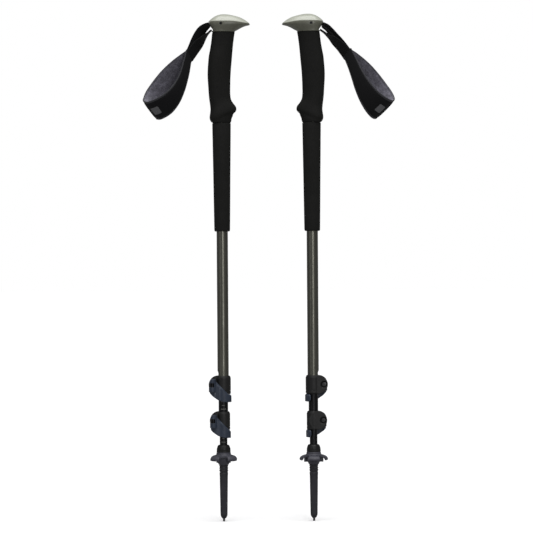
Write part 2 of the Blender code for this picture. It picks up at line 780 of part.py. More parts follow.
def strap_anchor(name, mount):
    """The webbing inside the cap: in over the wedge, round the pin, and out under the wedge."""
    bend = PIN_DIAMETER / 2 + GAP + WEBBING_THICKNESS / 2
    upper = [(-15.4, 0, PIN_HEIGHT - 0.9), (-10.0, 0, PIN_HEIGHT + 0.4), (-5.0, 0, PIN_HEIGHT + 1.8)]
    turns = [math.radians(95 - 30 * i) for i in range(7)]
    round_pin = [(bend * math.cos(t), 0, PIN_HEIGHT + bend * math.sin(t)) for t in turns]
    floor = CAP_BOTTOM + 2.6
    lower = [(-3.6, 0, floor + 2.1), (-5.6, 0, floor + 0.5), (-8.0, 0, floor), (-10.6, 0, floor)]
    route = [Vector(point) for point in upper + round_pin + lower]
    lies = [Vector((0, 1, 0))] * len(route)
    shape = ribbon(route, lies, [WEBBING_WIDTH] * len(route), WEBBING_THICKNESS)
    piece(name, shape, mount, WEBBING)


def run_of_webbing(name, mount, side, points, is_lower):
    """A run of webbing from the cap to the waist: its flat side turns from up to outwards."""
    smooth = curve_through(points, 3)
    route, lies = [], []
    for i, point in enumerate(smooth):
        along = smooth[min(i + 1, len(smooth) - 1)] - smooth[max(i - 1, 0)]
        forward = Vector((-along[2], 0, along[0])).normalized()
        share = point[3] / 90
        twist = math.radians(90 * share * share if is_lower else point[3])
        lie = forward * math.sin(twist) + Vector((0, math.cos(twist), 0))
        off = forward * math.cos(twist) - Vector((0, math.sin(twist), 0))
        place = Vector(point[:3]) + off * (point[4] if is_lower else 0.0)
        route.append(mirrored(place, side, CAP_BOTTOM))
        lies.append(mirrored(lie, side))
    shape = ribbon(route, lies, [WEBBING_WIDTH] * len(route), WEBBING_THICKNESS)
    piece(name, shape, mount, WEBBING)


def wrist_loop(name, mount, side, strap):
    """The padded band for the wrist: its two ends meet round the webbing at the waist."""
    smooth = curve_through(strap.pad, 3)
    count = len(smooth) - 1
    route, lies, widths = [], [], []
    for i, point in enumerate(smooth):
        from_waist = min(i, count - i) / count
        ease = min(from_waist / 0.26, 1.0)
        ease = ease * ease * (3 - 2 * ease)
        lie = Vector(strap.waist_lie).lerp(Vector(strap.pad_lie), ease)
        route.append(mirrored(point, side, CAP_BOTTOM))
        lies.append(mirrored(lie, side))
        widths.append(WEBBING_WIDTH + (PAD_WIDTH - WEBBING_WIDTH) * ease)
    piece(name, ribbon(route, lies, widths, PAD_THICKNESS), mount, PAD_CLOTH)


# ---------------------------------------------------------------- a pole


def pole(side_name, at, turned_by, strap, strap_side, first_petal):
    """Build one pole: its lower section stands still, and each other section hangs on its pivot."""
    lower = pivot(f"{side_name}_lower_section", (0, 0, 0))
    lower.empty.location = Vector(at) * MM
    lower.empty.rotation_euler.z = math.radians(turned_by)
    middle = pivot(f"{side_name}_middle_section", (0, 0, 0), lower)
    upper = pivot(f"{side_name}_upper_section", (0, 0, 0), middle)

    carbide_tip(f"{side_name}_carbide_tip", lower)
    flex_tip(f"{side_name}_flex_tip", lower)
    ferrule(f"{side_name}_ferrule", lower)
    spin = pivot(f"{side_name}_basket_axis", (0, 0, BASKET_BOTTOM), lower)
    basket(f"{side_name}_basket", spin, first_petal)
    tube(f"{side_name}_lower_tube", lower, LOWER_RADIUS, LOWER_TUBE_BOTTOM, LOWER_TUBE_TOP, DARK_TUBE_METAL)
    middle_inner = MIDDLE_RADIUS - TUBE_WALL
    bush(f"{side_name}_lower_bush", lower, LOWER_RADIUS, middle_inner, LOWER_TUBE_TOP)

    bottom = LOWER_LOCK - TUBE_END
    made = tube(f"{side_name}_middle_tube", middle, MIDDLE_RADIUS, bottom, MIDDLE_TUBE_TOP, DARK_TUBE_METAL)
    slit(made, middle, MIDDLE_RADIUS, bottom, LOWER_LOCK + LOCK_ABOVE - 4.2, 2.8)
    upper_inner = UPPER_RADIUS - TUBE_WALL
    bush(f"{side_name}_middle_bush", middle, MIDDLE_RADIUS, upper_inner, MIDDLE_TUBE_TOP)
    lever_lock(f"{side_name}_lower_lock", middle, MIDDLE_RADIUS, LOWER_RADIUS, LOWER_LOCK)

    bottom = UPPER_LOCK - TUBE_END
    made = tube(f"{side_name}_upper_tube", upper, UPPER_RADIUS, bottom, UPPER_TUBE_TOP, TUBE_METAL)
    slit(made, upper, UPPER_RADIUS, bottom, UPPER_LOCK + LOCK_ABOVE + 2.4, 4.3)
    lever_lock(f"{side_name}_upper_lock", upper, UPPER_RADIUS, MIDDLE_RADIUS, UPPER_LOCK)

    extension_foam(f"{side_name}_extension_foam", upper)
    grip_core(f"{side_name}_grip_core", upper)
    grip_foam(f"{side_name}_grip_foam", upper)
    cap_body(f"{side_name}_cap_body", upper)
    cap_top(f"{side_name}_cap_top", upper)
    strap_pin(f"{side_name}_strap_pin", upper)
    strap_wedge(f"{side_name}_strap_wedge", upper)
    strap_anchor(f"{side_name}_strap_anchor", upper)

    swing = pivot(f"{side_name}_strap_axis", mirrored(strap.webbing[0], 1, CAP_BOTTOM), upper)
    run_of_webbing(f"{side_name}_strap_upper_webbing", swing, strap_side, strap.webbing, False)
    run_of_webbing(f"{side_name}_strap_lower_webbing", swing, strap_side, strap.webbing, True)
    wrist_loop(f"{side_name}_wrist_loop", swing, strap_side, strap)


for old in list(bpy.data.objects):
    bpy.data.objects.remove(old)

middle_x, middle_y = PAIR_CENTRE
pole("left", (middle_x - POLE_SPACING / 2, middle_y, 0), 0, LEFT_STRAP, 1, 45)
pole("right", (middle_x + POLE_SPACING / 2, middle_y, 0), 180, RIGHT_STRAP, -1, 0)
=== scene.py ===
# %% [markdown]
# # A pair of trekking poles
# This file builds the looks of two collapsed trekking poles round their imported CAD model. Each
# cell makes one piece or one finish, and the cell before it says what that is on a real pole and
# why it is made this way. The CAD model comes in first, because it says where every piece goes,
# and each new piece then rides on the CAD body that it belongs to.

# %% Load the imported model
import math

import bmesh
import bpy
import numpy as np
from mathutils import Matrix, Vector


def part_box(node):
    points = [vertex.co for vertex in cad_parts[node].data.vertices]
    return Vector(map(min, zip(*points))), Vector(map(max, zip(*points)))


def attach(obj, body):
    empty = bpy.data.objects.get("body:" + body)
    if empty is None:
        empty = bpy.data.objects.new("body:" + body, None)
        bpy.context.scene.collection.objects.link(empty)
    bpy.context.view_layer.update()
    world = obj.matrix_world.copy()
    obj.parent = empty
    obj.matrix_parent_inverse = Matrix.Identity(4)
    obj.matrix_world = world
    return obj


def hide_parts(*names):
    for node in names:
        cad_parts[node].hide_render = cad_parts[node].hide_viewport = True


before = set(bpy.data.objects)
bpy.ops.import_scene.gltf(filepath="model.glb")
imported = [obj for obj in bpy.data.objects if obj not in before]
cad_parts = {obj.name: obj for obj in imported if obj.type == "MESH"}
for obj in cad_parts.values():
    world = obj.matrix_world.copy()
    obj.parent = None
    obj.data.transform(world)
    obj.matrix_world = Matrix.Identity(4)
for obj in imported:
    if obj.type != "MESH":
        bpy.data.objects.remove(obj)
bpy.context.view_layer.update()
MM = 0.001


def in_mm(corner):
    """A point in whole tenths of a millimetre, for printing."""
    return [round(value / MM, 1) for value in corner]


# %% [markdown]
# ## Where things are
# A pole is easiest to think of about its own axis, in millimetres: height up from the tip, and the
# front, where the cap has its beak, towards +X. The right pole is the left one turned half round.
# So each piece is modelled once in that frame, and then a copy goes to each pole. The heights come
# from the boxes of the CAD pieces, so a new piece meets its neighbours without fitting by eye.

# %% The poles' axes and heights
SIDES = ("left", "right")


def place_of(side):
    """The matrix that takes a point of the pole's own frame, in mm, to the model."""
    low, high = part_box(f"{side}_lower_tube")
    turn = 0.0 if side == "left" else math.pi
    centre = Matrix.Translation(((low.x + high.x) / 2, (low.y + high.y) / 2, 0))
    return centre @ Matrix.Rotation(turn, 4, "Z") @ Matrix.Scale(MM, 4)


def heights(piece):
    """How high a CAD piece's foot and top are, in mm."""
    low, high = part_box(f"left_{piece}")
    return low.z / MM, high.z / MM


PLACES = {side: place_of(side) for side in SIDES}
TIP_TOP = 66.7
BASKET_FOOT, BASKET_TOP = heights("basket")
DOME_TOP = heights("ferrule")[1]
UPPER_RADIUS, MIDDLE_RADIUS, LOWER_RADIUS = 7.65, 6.45, 5.2
LOCK_ABOVE = 12.4
LOCKS = {
    "lower": (heights("lower_lock_collar")[1] - LOCK_ABOVE, MIDDLE_RADIUS, LOWER_RADIUS, "middle_section"),
    "upper": (heights("upper_lock_collar")[1] - LOCK_ABOVE, UPPER_RADIUS, MIDDLE_RADIUS, "upper_section"),
}
FOAM_FOOT, FOAM_TOP = heights("extension_foam")
GRIP_FOOT, GRIP_TOP = heights("grip_foam")
CAP_FOOT = GRIP_TOP + 0.3
CAP_SEAM = CAP_FOOT + 13.3
for side, matrix in PLACES.items():
    print(side, "pole stands at", in_mm(matrix.translation))
print("basket", BASKET_FOOT, BASKET_TOP, "foam", FOAM_FOOT, FOAM_TOP, "grip", GRIP_FOOT, GRIP_TOP)

# %% [markdown]
# ## Tools for modelling
# Most of a pole is turned: tubes, ferrule and foam are all a profile spun round one axis. So the
# first tool draws a profile by extruding a single point, and spins it. The second rolls up a grid
# into a tube whose section changes along its length, which suits a grip, a cap or a strap, and it
# leaves a tidy UV map: U runs round the section and V along it. Others apply modifiers, cut, join
# and soften a piece, and draw a smooth curve through measured points.

# %% Start with nothing selected
def lay_down():
    """Leave edit mode and select nothing, so that an operator acts only on what comes next."""
    if bpy.context.mode != "OBJECT":
        bpy.ops.object.mode_set(mode="OBJECT")
    bpy.ops.object.select_all(action="DESELECT")


def pick(piece):
    """Select one piece alone."""
    lay_down()
    piece.select_set(True)
    bpy.context.view_layer.objects.active = piece
    return piece


# %% Spin a profile
def turned(name, outline, steps=64, closed=False):
    """Spin an outline of (radius, height) points round the pole's axis."""
    lay_down()
    bpy.ops.mesh.primitive_plane_add(size=1.0)
    piece = bpy.context.object
    piece.name = name
    bpy.ops.object.mode_set(mode="EDIT")
    bpy.ops.mesh.merge(type="CENTER")
    bpy.ops.transform.translate(value=(outline[0][0], 0, outline[0][1]))
    for before, after in zip(outline, outline[1:]):
        step = (after[0] - before[0], 0, after[1] - before[1])
        bpy.ops.mesh.extrude_region_move(TRANSFORM_OT_translate={"value": step})
    bpy.ops.mesh.select_all(action="SELECT")
    if closed:
        ends = bmesh.from_edit_mesh(piece.data)
        ends.verts.ensure_lookup_table()
        ends.edges.new((ends.verts[0], ends.verts[-1]))
        ends.select_flush(True)
        bpy.ops.mesh.select_all(action="SELECT")
    bpy.ops.mesh.spin(steps=steps, angle=2 * math.pi, center=(0, 0, 0), axis=(0, 0, 1))
    bpy.ops.mesh.select_all(action="SELECT")
    bpy.ops.mesh.remove_doubles(threshold=0.002)
    bpy.ops.mesh.normals_make_consistent(inside=False)
    bpy.ops.object.mode_set(mode="OBJECT")
    return piece


# %% Roll up a grid
def rolled(name, rows, closed=False):
    """Roll a grid into a tube, with a ring of points to each row. Its ends are capped, or closed on each other."""
    if closed:
        rows = [*rows, rows[0]]
    around, along = len(rows[0]), len(rows) - 1
    lay_down()
    bpy.ops.mesh.primitive_grid_add(x_subdivisions=around, y_subdivisions=along, size=1)
    piece = bpy.context.object
    piece.name = name
    points = np.array([[*row, row[0]] for row in rows], float)
    piece.data.vertices.foreach_set("co", points.ravel())
    bpy.ops.object.mode_set(mode="EDIT")
    bpy.ops.mesh.select_all(action="SELECT")
    bpy.ops.mesh.remove_doubles(threshold=0.0005)
    if not closed:
        bpy.ops.mesh.select_all(action="SELECT")
        bpy.ops.mesh.fill_holes(sides=0)
    bpy.ops.mesh.select_all(action="SELECT")
    bpy.ops.mesh.normals_make_consistent(inside=False)
    bpy.ops.object.mode_set(mode="OBJECT")
    return piece


# %% Apply modifiers, and cut, join or merge pieces
def apply(piece, kind, **settings):
    """Give a piece a modifier and apply it at once."""
    pick(piece)
    modifier = piece.modifiers.new(kind.title(), kind)
    for key, value in settings.items():
        setattr(modifier, key, value)
    bpy.ops.object.modifier_apply(modifier=modifier.name)
    return piece


def cut(piece, *cutters, operation="DIFFERENCE"):
    """Cut helper shapes out of a piece, or join them to it, and throw the helpers away."""
    for cutter in cutters:
        apply(piece, "BOOLEAN", operation=operation, solver="EXACT", object=cutter)
        bpy.data.objects.remove(cutter)
    return piece


def joined(name, pieces):
    """Join several pieces into one."""
    lay_down()
    for piece in pieces:
        piece.select_set(True)
    bpy.context.view_layer.objects.active = pieces[0]
    bpy.ops.object.join()
    pieces[0].name = name
    return pieces[0]


def rod(radius, start, end, sides=32):
    """A plain cylinder between two points, as a helper for cutting and joining."""
    start, end = Vector(start), Vector(end)
    lay_down()
    bpy.ops.mesh.primitive_cylinder_add(vertices=sides, radius=radius, depth=(end - start).length)
    piece = bpy.context.object
    turn = (end - start).to_track_quat("Z", "Y").to_matrix().to_4x4()
    piece.data.transform(Matrix.Translation((start + end) / 2) @ turn)
    return piece


def block(low, high):
    """A box between two corners, as a helper for cutting."""
    lay_down()
    bpy.ops.mesh.primitive_cube_add(size=1.0)
    piece = bpy.context.object
    size = [b - a for a, b in zip(low, high)]
    centre = [(a + b) / 2 for a, b in zip(low, high)]
    piece.data.transform(Matrix.Translation(centre) @ Matrix.Diagonal((*size, 1)))
    return piece


def soften(piece, grain, rounds=3, keep=0.4):
    """Round every edge as a mould does: remesh to a fine even grain, smooth, and thin the mesh out."""
    apply(piece, "REMESH", mode="VOXEL", voxel_size=grain)
    apply(piece, "SMOOTH", factor=0.5, iterations=rounds)
    apply(piece, "DECIMATE", ratio=keep)
    return piece


def shade(piece, degrees=35):
    """Shade smooth, with edges sharper than this many degrees left crisp."""
    pick(piece)
    bpy.ops.object.shade_smooth_by_angle(angle=math.radians(degrees))
    return piece


# %% Curves through points
def smooth_through(points, steps):
    """Points along a smooth curve through the given ones, steps to each stretch."""
    points = [Vector(point) for point in points]
    ends = [2 * points[0] - points[1], *points, 2 * points[-1] - points[-2]]
    found = []
    for before, start, end, after in zip(ends, ends[1:], ends[2:], ends[3:]):
        for i in range(steps):
            t = i / steps
            bend = 2 * before - 5 * start + 4 * end - after
            sway = 3 * start - before - 3 * end + after
            found.append(0.5 * (2 * start + (end - before) * t + bend * t * t + sway * t**3))
    return [*found, points[-1]]


def ease(value):
    """0 to 1 with a soft start and end."""
    value = min(max(value, 0.0), 1.0)
    return value * value * (3 - 2 * value)


# %% [markdown]
# ## Put a finished piece in both poles
# A real maker uses the same mould for both poles. So each piece is copied, each copy gets a mesh of
# its own, and that mesh is moved into place, while the object itself stays at the origin. The copy
# then rides on its pole's body and hides the plain CAD solid that it stands for.


def stand(piece, body, finish, replaces=(), sides=SIDES):
    """Copy a piece into each pole, on that pole's body, and remove the original."""
    if finish:
        piece.data.materials.append(finish.material)
    name = piece.name
    for side in sides:
        pick(piece)
        bpy.ops.object.duplicate(linked=False)
        copy = bpy.context.object
        copy.name = f"{side}_{name}"
        copy.data.name = copy.name
        copy.data.transform(PLACES[side])
        copy.data.update()
        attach(copy, f"{side}_{body}")
        if replaces:
            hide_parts(*[f"{side}_{node}" for node in replaces])
    print(name, "has", sum(len(p.vertices) - 2 for p in piece.data.polygons), "triangles")
    bpy.data.objects.remove(piece)


# %% [markdown]
# ## Finishes
# Every finish starts from one Principled shader. Its plain numbers sit on the shader's own sockets,
# and only colour, roughness and bump come from textures. The textures read Object coordinates, so a
# pattern stays fixed to its piece, or the piece's UV map where a weave has to follow a strap.

# %% A tool for building finishes
class Finish:
    """A material with a Principled shader, and short ways to add texture nodes to it."""

    def __init__(self, name, colour, roughness, metallic=0.0, **sockets):
        self.material = bpy.data.materials.new(name)
        self.material.use_nodes = True
        self.nodes = self.material.node_tree.nodes
        self.links = self.material.node_tree.links
        self.shader = self.nodes["Principled BSDF"]
        self.shader.inputs["Base Color"].default_value = (*colour, 1)
        self.shader.inputs["Roughness"].default_value = roughness
        self.shader.inputs["Metallic"].default_value = metallic
        for socket, value in sockets.items():
            self.shader.inputs[socket.replace("_", " ")].default_value = value

    def node(self, kind, values=None, wires=None, **settings):
        """Add a node: values go on its sockets, wires join other nodes' outputs to it."""
        made = self.nodes.new("ShaderNode" + kind)
        for key, value in settings.items():
            setattr(made, key, value)
        for socket, value in (values or {}).items():
            made.inputs[socket].default_value = value
        for socket, source in (wires or {}).items():
            self.links.new(source, made.inputs[socket])
        return made

    def place(self, scale=(1, 1, 1), source="Object"):
        """Where a point is, stretched by a scale."""
        coordinates = self.node("TexCoord")
        wires = {"Vector": coordinates.outputs[source]}
        return self.node("Mapping", {"Scale": scale}, wires).outputs["Vector"]

    def noise(self, scale, stretch=(1, 1, 1), detail=3.0, roughness=0.55, source="Object"):
        """Noise, with scale in waves to a metre."""
        values = {"Scale": scale, "Detail": detail, "Roughness": roughness}
        wires = {"Vector": self.place(stretch, source)}
        return self.node("TexNoise", values, wires).outputs["Fac"]

    def spread(self, source, low, high, from_low=0.3, from_high=0.7):
        """Map a texture's values to a range of numbers."""
        values = {"From Min": from_low, "From Max": from_high, "To Min": low, "To Max": high}
        return self.node("MapRange", values, {"Value": source}).outputs["Result"]

    def tint(self, source, dark, light, low=0.3, high=0.7):
        """Colour the piece from dark to light by a texture."""
        ramp = self.node("ValToRGB", None, {"Fac": source})
        for element, colour, at in zip(ramp.color_ramp.elements, (dark, light), (low, high)):
            element.color, element.position = (*colour, 1), at
        self.links.new(ramp.outputs["Color"], self.shader.inputs["Base Color"])
        return ramp.outputs["Color"]

    def rough(self, source, low, high):
        """Let a texture vary the roughness."""
        self.links.new(self.spread(source, low, high), self.shader.inputs["Roughness"])

    def bump(self, source, strength, depth):
        """Raise the surface a little by a texture; depth is in metres, and bumps add up."""
        wires = {"Height": source}
        if self.shader.inputs["Normal"].is_linked:
            wires["Normal"] = self.shader.inputs["Normal"].links[0].from_socket
        raised = self.node("Bump", {"Strength": strength, "Distance": depth}, wires)
        self.links.new(raised.outputs["Normal"], self.shader.inputs["Normal"])


# %% [markdown]
# ### Foam
# The grips are closed-cell foam: almost black, quite matt, and covered with tiny skinned bubbles
# that a hand polishes a little. So the colour wanders slightly, and two sizes of noise raise the skin.

# %% Foam finish
foam = Finish("foam_finish", (0.0075, 0.0075, 0.0070), 0.88)
foam.tint(foam.noise(900, detail=4), (0.0078, 0.0078, 0.0072), (0.0130, 0.0130, 0.0121))
foam.rough(foam.noise(60), 0.78, 0.94)
foam.bump(foam.noise(2600, detail=2), 0.35, 0.00025)
foam.bump(foam.noise(240, detail=2), 0.18, 0.0004)
foam.shader.inputs["Specular IOR Level"].default_value = 0.16

# %% [markdown]
# ### Anodised tube
# The upper tube is aluminium in an olive-bronze anodised coat. It was drawn through a die and
# brushed, so it carries faint lines along its length: noise stretched along Z gives them. The lower
# tubes are the same metal in near black. Handling and sliding leave paler scuffs on both.

# %% Tube finishes
def anodised(name, dark, light, scuff, roughness):
    """Drawn tube: lines along the length, and a few pale scuffs."""
    made = Finish(name, light, roughness, 0.92)
    lines = made.noise(1.0, (2600, 2600, 14), detail=2)
    base = made.tint(lines, dark, light)
    rubbed = made.spread(made.noise(70, (1, 1, 0.25), detail=5), 0.0, 0.16, 0.60, 0.78)
    blend = made.node("Mix", {"B": (*scuff, 1)}, {"Factor": rubbed, "A": base}, data_type="RGBA")
    made.links.new(blend.outputs["Result"], made.shader.inputs["Base Color"])
    made.rough(made.noise(1.0, (1400, 1400, 30)), roughness - 0.05, roughness + 0.08)
    made.bump(lines, 0.12, 0.00006)
    return made


olive_tube = anodised("olive_anodised", (0.105, 0.104, 0.086), (0.145, 0.144, 0.122), (0.24, 0.24, 0.215), 0.33)
black_tube = anodised("black_anodised", (0.016, 0.016, 0.017), (0.026, 0.026, 0.027), (0.12, 0.12, 0.12), 0.33)

# %% [markdown]
# ### Moulded plastics
# Collars, levers, baskets and tips are glass-filled nylon. The mould was spark-eroded, which leaves
# an even fine grain, and edges that are handled or knocked wear paler. On the levers the paler edges
# are much brighter: a painted highlight along the rims that catch the light. The Geometry node's
# Pointiness finds those edges.

# %% Plastic finishes
def moulded(name, colour, edge, roughness, grain=0.10, edge_wear_and_highlight=0.5):
    """Moulded plastic: slight mottling, a fine grain, and paler edges for wear and, on the levers, a painted highlight.
    """
    made = Finish(name, colour, roughness)
    dark = tuple(c * 0.86 for c in colour)
    base = made.tint(made.noise(160, detail=4), dark, tuple(c * 1.12 for c in colour))
    made.shader.inputs["Specular IOR Level"].default_value = 0.3
    # Paler edges by Pointiness: wear on every plastic, and on the levers a painted highlight along the rims.
    edges = made.spread(made.node("NewGeometry").outputs["Pointiness"], 0.0, edge_wear_and_highlight, 0.52, 0.62)
    blend = made.node("Mix", {"B": (*edge, 1)}, {"Factor": edges, "A": base}, data_type="RGBA")
    made.links.new(blend.outputs["Result"], made.shader.inputs["Base Color"])
    made.rough(made.noise(90), roughness - 0.06, roughness + 0.08)
    made.bump(made.noise(5200, detail=1), grain, 0.00012)
    return made


collar_nylon = moulded("collar_nylon", (0.0105, 0.0105, 0.0105), (0.040, 0.040, 0.041), 0.46)
# The levers' edge colour is far paler than their body: a painted highlight along the rims that catch the light.
lever_nylon = moulded("lever_nylon", (0.029, 0.038, 0.058), (0.20, 0.21, 0.24), 0.40, edge_wear_and_highlight=0.8)
basket_nylon = moulded("basket_nylon", (0.056, 0.056, 0.070), (0.17, 0.17, 0.19), 0.44)
tip_nylon = moulded("tip_nylon", (0.026, 0.026, 0.031), (0.09, 0.09, 0.10), 0.48)
ferrule_nylon = moulded("ferrule_nylon", (0.0075, 0.0075, 0.0075), (0.04, 0.04, 0.04), 0.42)
core_nylon = moulded("core_nylon", (0.02, 0.02, 0.02), (0.05, 0.05, 0.05), 0.5)
bush_nylon = moulded("bush_nylon", (0.50, 0.50, 0.48), (0.6, 0.6, 0.58), 0.5)

# %% [markdown]
# ### Cap shells
# The cap is moulded in two shells of a smoother, satin plastic: a body, and a pale lid that the palm
# rests on. The body's darker olive-grey is painted shade on the cap's underside. Their noise is faint
# and broad, because the surface is nearly even.

# %% Cap finishes
def satin(name, dark, light, roughness):
    """Smooth satin plastic with a very faint flow mark."""
    made = Finish(name, light, roughness, Coat_Weight=0.12, Coat_Roughness=0.25)
    made.tint(made.noise(45, detail=4), dark, light)
    made.rough(made.noise(30), roughness - 0.04, roughness + 0.06)
    made.bump(made.noise(2200, detail=2), 0.05, 0.0001)
    return made


# The body is a darker copy of the lid's colour: painted shade on the cap's underside.
cap_body_painted_shade = satin("cap_body_painted_shade", (0.100, 0.100, 0.074), (0.120, 0.121, 0.092), 0.38)
cap_pale = satin("cap_pale", (0.44, 0.455, 0.385), (0.50, 0.515, 0.44), 0.32)

# %% [markdown]
# ### Steel
# The pins and barrel nuts are blackened steel. The screws' steel colour is painted dark, as painted
# shade for the recess that each head sits in. The tip is sintered carbide, which is a dull
# dark grey where it has met stones.

# %% Steel finishes
def steel(name, dark, light, roughness):
    """Metal with short fine scratches."""
    made = Finish(name, light, roughness, 1.0)
    made.tint(made.noise(1500, (1, 1, 0.2), detail=5), dark, light)
    made.rough(made.noise(700), roughness - 0.08, roughness + 0.12)
    made.bump(made.noise(2500, (1, 1, 0.3)), 0.15, 0.00005)
    return made


# The screws' steel is painted dark: painted shade for the recess that each head sits in.
bright_steel = steel("bright_steel", (0.030, 0.030, 0.031), (0.055, 0.055, 0.057), 0.36)
dark_steel = steel("dark_steel", (0.012, 0.012, 0.013), (0.026, 0.026, 0.028), 0.38)
carbide = steel("carbide_steel", (0.08, 0.08, 0.085), (0.17, 0.17, 0.175), 0.42)

# %% [markdown]
# ### Cloths
# A wrist strap has three cloths. Its webbing is woven black nylon with ribs across it. The pad is
# faced with a close black knit, and lined with a brushed heather cloth, whose grey and violet fibres
# mix at the scale of a pinhead. The lining carries painted light and shade: it is painted paler at the
# foot of the loop and darker in the narrow waist. The weaves read the UV map, so that they turn with the strap.

# %% Cloth finishes
def woven(name, dark, light, ribs_along, ribs_across, depth):
    """A flat weave that follows the piece: ribs along V crossed by finer ones along U."""
    made = Finish(name, light, 0.86, Sheen_Weight=0.04, Sheen_Roughness=0.5, Specular_IOR_Level=0.2)
    warp = made.node("TexWave", {"Scale": ribs_along, "Distortion": 0.6, "Detail": 1.0},
                     {"Vector": made.place((0, 1, 0), "UV")}, wave_type="BANDS", bands_direction="Y")
    weft = made.node("TexWave", {"Scale": ribs_across, "Distortion": 0.4, "Detail": 1.0},
                     {"Vector": made.place((1, 0, 0), "UV")}, wave_type="BANDS", bands_direction="X")
    both = made.node("Math", None, {0: warp.outputs["Fac"], 1: weft.outputs["Fac"]}, operation="MULTIPLY")
    made.tint(both.outputs[0], dark, light, 0.1, 0.8)
    made.bump(both.outputs[0], 0.5, depth)
    made.bump(made.noise(1800), 0.2, 0.0002)
    return made


webbing_cloth = woven("webbing_cloth", (0.0035, 0.0035, 0.0038), (0.0100, 0.0100, 0.0108), 26, 7, 0.0003)


def flecked(name, colour, roughness, scale, dark, light, detail=3.0, high=0.7, **sockets):
    """A plain cloth, thread or ink whose colour wanders from fleck to fleck."""
    made = Finish(name, colour, roughness, **sockets)
    made.tint(made.noise(scale, detail=detail), dark, light, 0.3, high)
    return made


facing_cloth = flecked("facing_cloth", (0.006, 0.006, 0.0066), 0.9, 1600, (0.0042, 0.0042, 0.0047),
                       (0.0088, 0.0088, 0.0098), Sheen_Weight=0.03, Sheen_Roughness=0.5, Specular_IOR_Level=0.15)
facing_cloth.bump(facing_cloth.noise(1500, detail=3), 0.35, 0.0003)
facing_cloth.bump(facing_cloth.noise(220), 0.25, 0.0006)
binding_cloth = flecked("binding_cloth", (0.020, 0.020, 0.023), 0.85, 1300, (0.014, 0.014, 0.017),
                        (0.032, 0.032, 0.038), Sheen_Weight=0.1)
binding_cloth.bump(binding_cloth.noise(1700), 0.4, 0.0002)
thread = flecked("stitch_thread", (0.05, 0.05, 0.055), 0.7, 3000, (0.03, 0.03, 0.034), (0.06, 0.06, 0.068))
reflective = flecked("reflective_print", (0.09, 0.09, 0.095), 0.5, 2400, (0.055, 0.055, 0.060), (0.12, 0.12, 0.126), 2)

# %% Heather lining
lining_cloth = Finish("heather_lining", (0.11, 0.107, 0.135), 0.95, Sheen_Weight=0.15, Sheen_Roughness=0.6)
fibres = lining_cloth.noise(950, detail=5, roughness=0.75)
heather = lining_cloth.tint(fibres, (0.036, 0.034, 0.052), (0.235, 0.228, 0.270), 0.38, 0.66)
clouds = lining_cloth.spread(lining_cloth.noise(150, detail=4), 0.72, 1.22, 0.35, 0.65)
# Painted light and shade: the lining is painted paler at the foot of the loop and darker towards the waist.
along_loop = lining_cloth.node("SeparateXYZ", None, {"Vector": lining_cloth.place(source="UV")}).outputs["Y"]
from_bottom = lining_cloth.node("Math", {1: 0.52}, {0: along_loop}, operation="SUBTRACT")
apart = lining_cloth.node("Math", None, {0: from_bottom.outputs[0]}, operation="ABSOLUTE")
loop_painted_light_and_shade = lining_cloth.spread(apart.outputs[0], 1.45, 0.45, 0.06, 0.46)
both = lining_cloth.node("Math", None, {0: clouds, 1: loop_painted_light_and_shade}, operation="MULTIPLY")
shaded = lining_cloth.node("Mix", {"Factor": 1.0}, {"A": heather, "B": both.outputs[0]},
                           data_type="RGBA", blend_type="MULTIPLY")
lining_cloth.links.new(shaded.outputs["Result"], lining_cloth.shader.inputs["Base Color"])
lining_cloth.bump(fibres, 0.55, 0.0004)
lining_cloth.bump(lining_cloth.noise(130), 0.3, 0.0008)

# %% [markdown]
# ## Tip, ferrule and carbide
# The replaceable tip is a slim fluted taper. Flutes are easiest on a rolled grid: every ring is a
# circle whose radius ripples, and the ripple fades at both ends. A hard carbide insert stands out of
# its foot. Above it, the ferrule's neck carries the coarse thread that the basket screws on to, and
# its dome covers the end of the lower tube.

# %% Carbide insert
outline = [(0, 0.35), (0.7, 0.25), (1.15, 0), (1.42, 0.35), (1.5, 0.8), (1.5, 14), (0, 14.2)]
insert = turned("carbide_insert", outline, 28)
stand(shade(insert), "lower_section", carbide, ["carbide_tip"])

# %% Fluted tip
FLUTES = 22
FLUTE_SIDES = FLUTES * 6
tip_outline = [(4.2, 2.25), (4.5, 2.9), (6.0, 3.65), (7.4, 4.35), (8.6, 4.72), (10.0, 4.84), (12.0, 4.88)]
tip_outline += [(12.0 + 4.2 * i, 4.88 + 0.0624 * i) for i in range(1, 13)]
tip_outline += [(63.2, 5.68), (63.8, 5.74), (64.2, 5.78), (66.4, 5.80), (TIP_TOP, 5.6)]
rows = []
for height, radius in tip_outline:
    depth = 0.34 * ease((height - 9.0) / 5.0) * ease((63.5 - height) / 2.5)
    ring = []
    for i in range(FLUTE_SIDES):
        angle = 2 * math.pi * i / FLUTE_SIDES
        r = radius - depth * (0.5 + 0.5 * math.cos(FLUTES * angle)) ** 1.4
        ring.append((r * math.cos(angle), r * math.sin(angle), height))
    rows.append(ring)
stand(shade(rolled("fluted_tip", rows), 50), "lower_section", tip_nylon, ["flex_tip"])

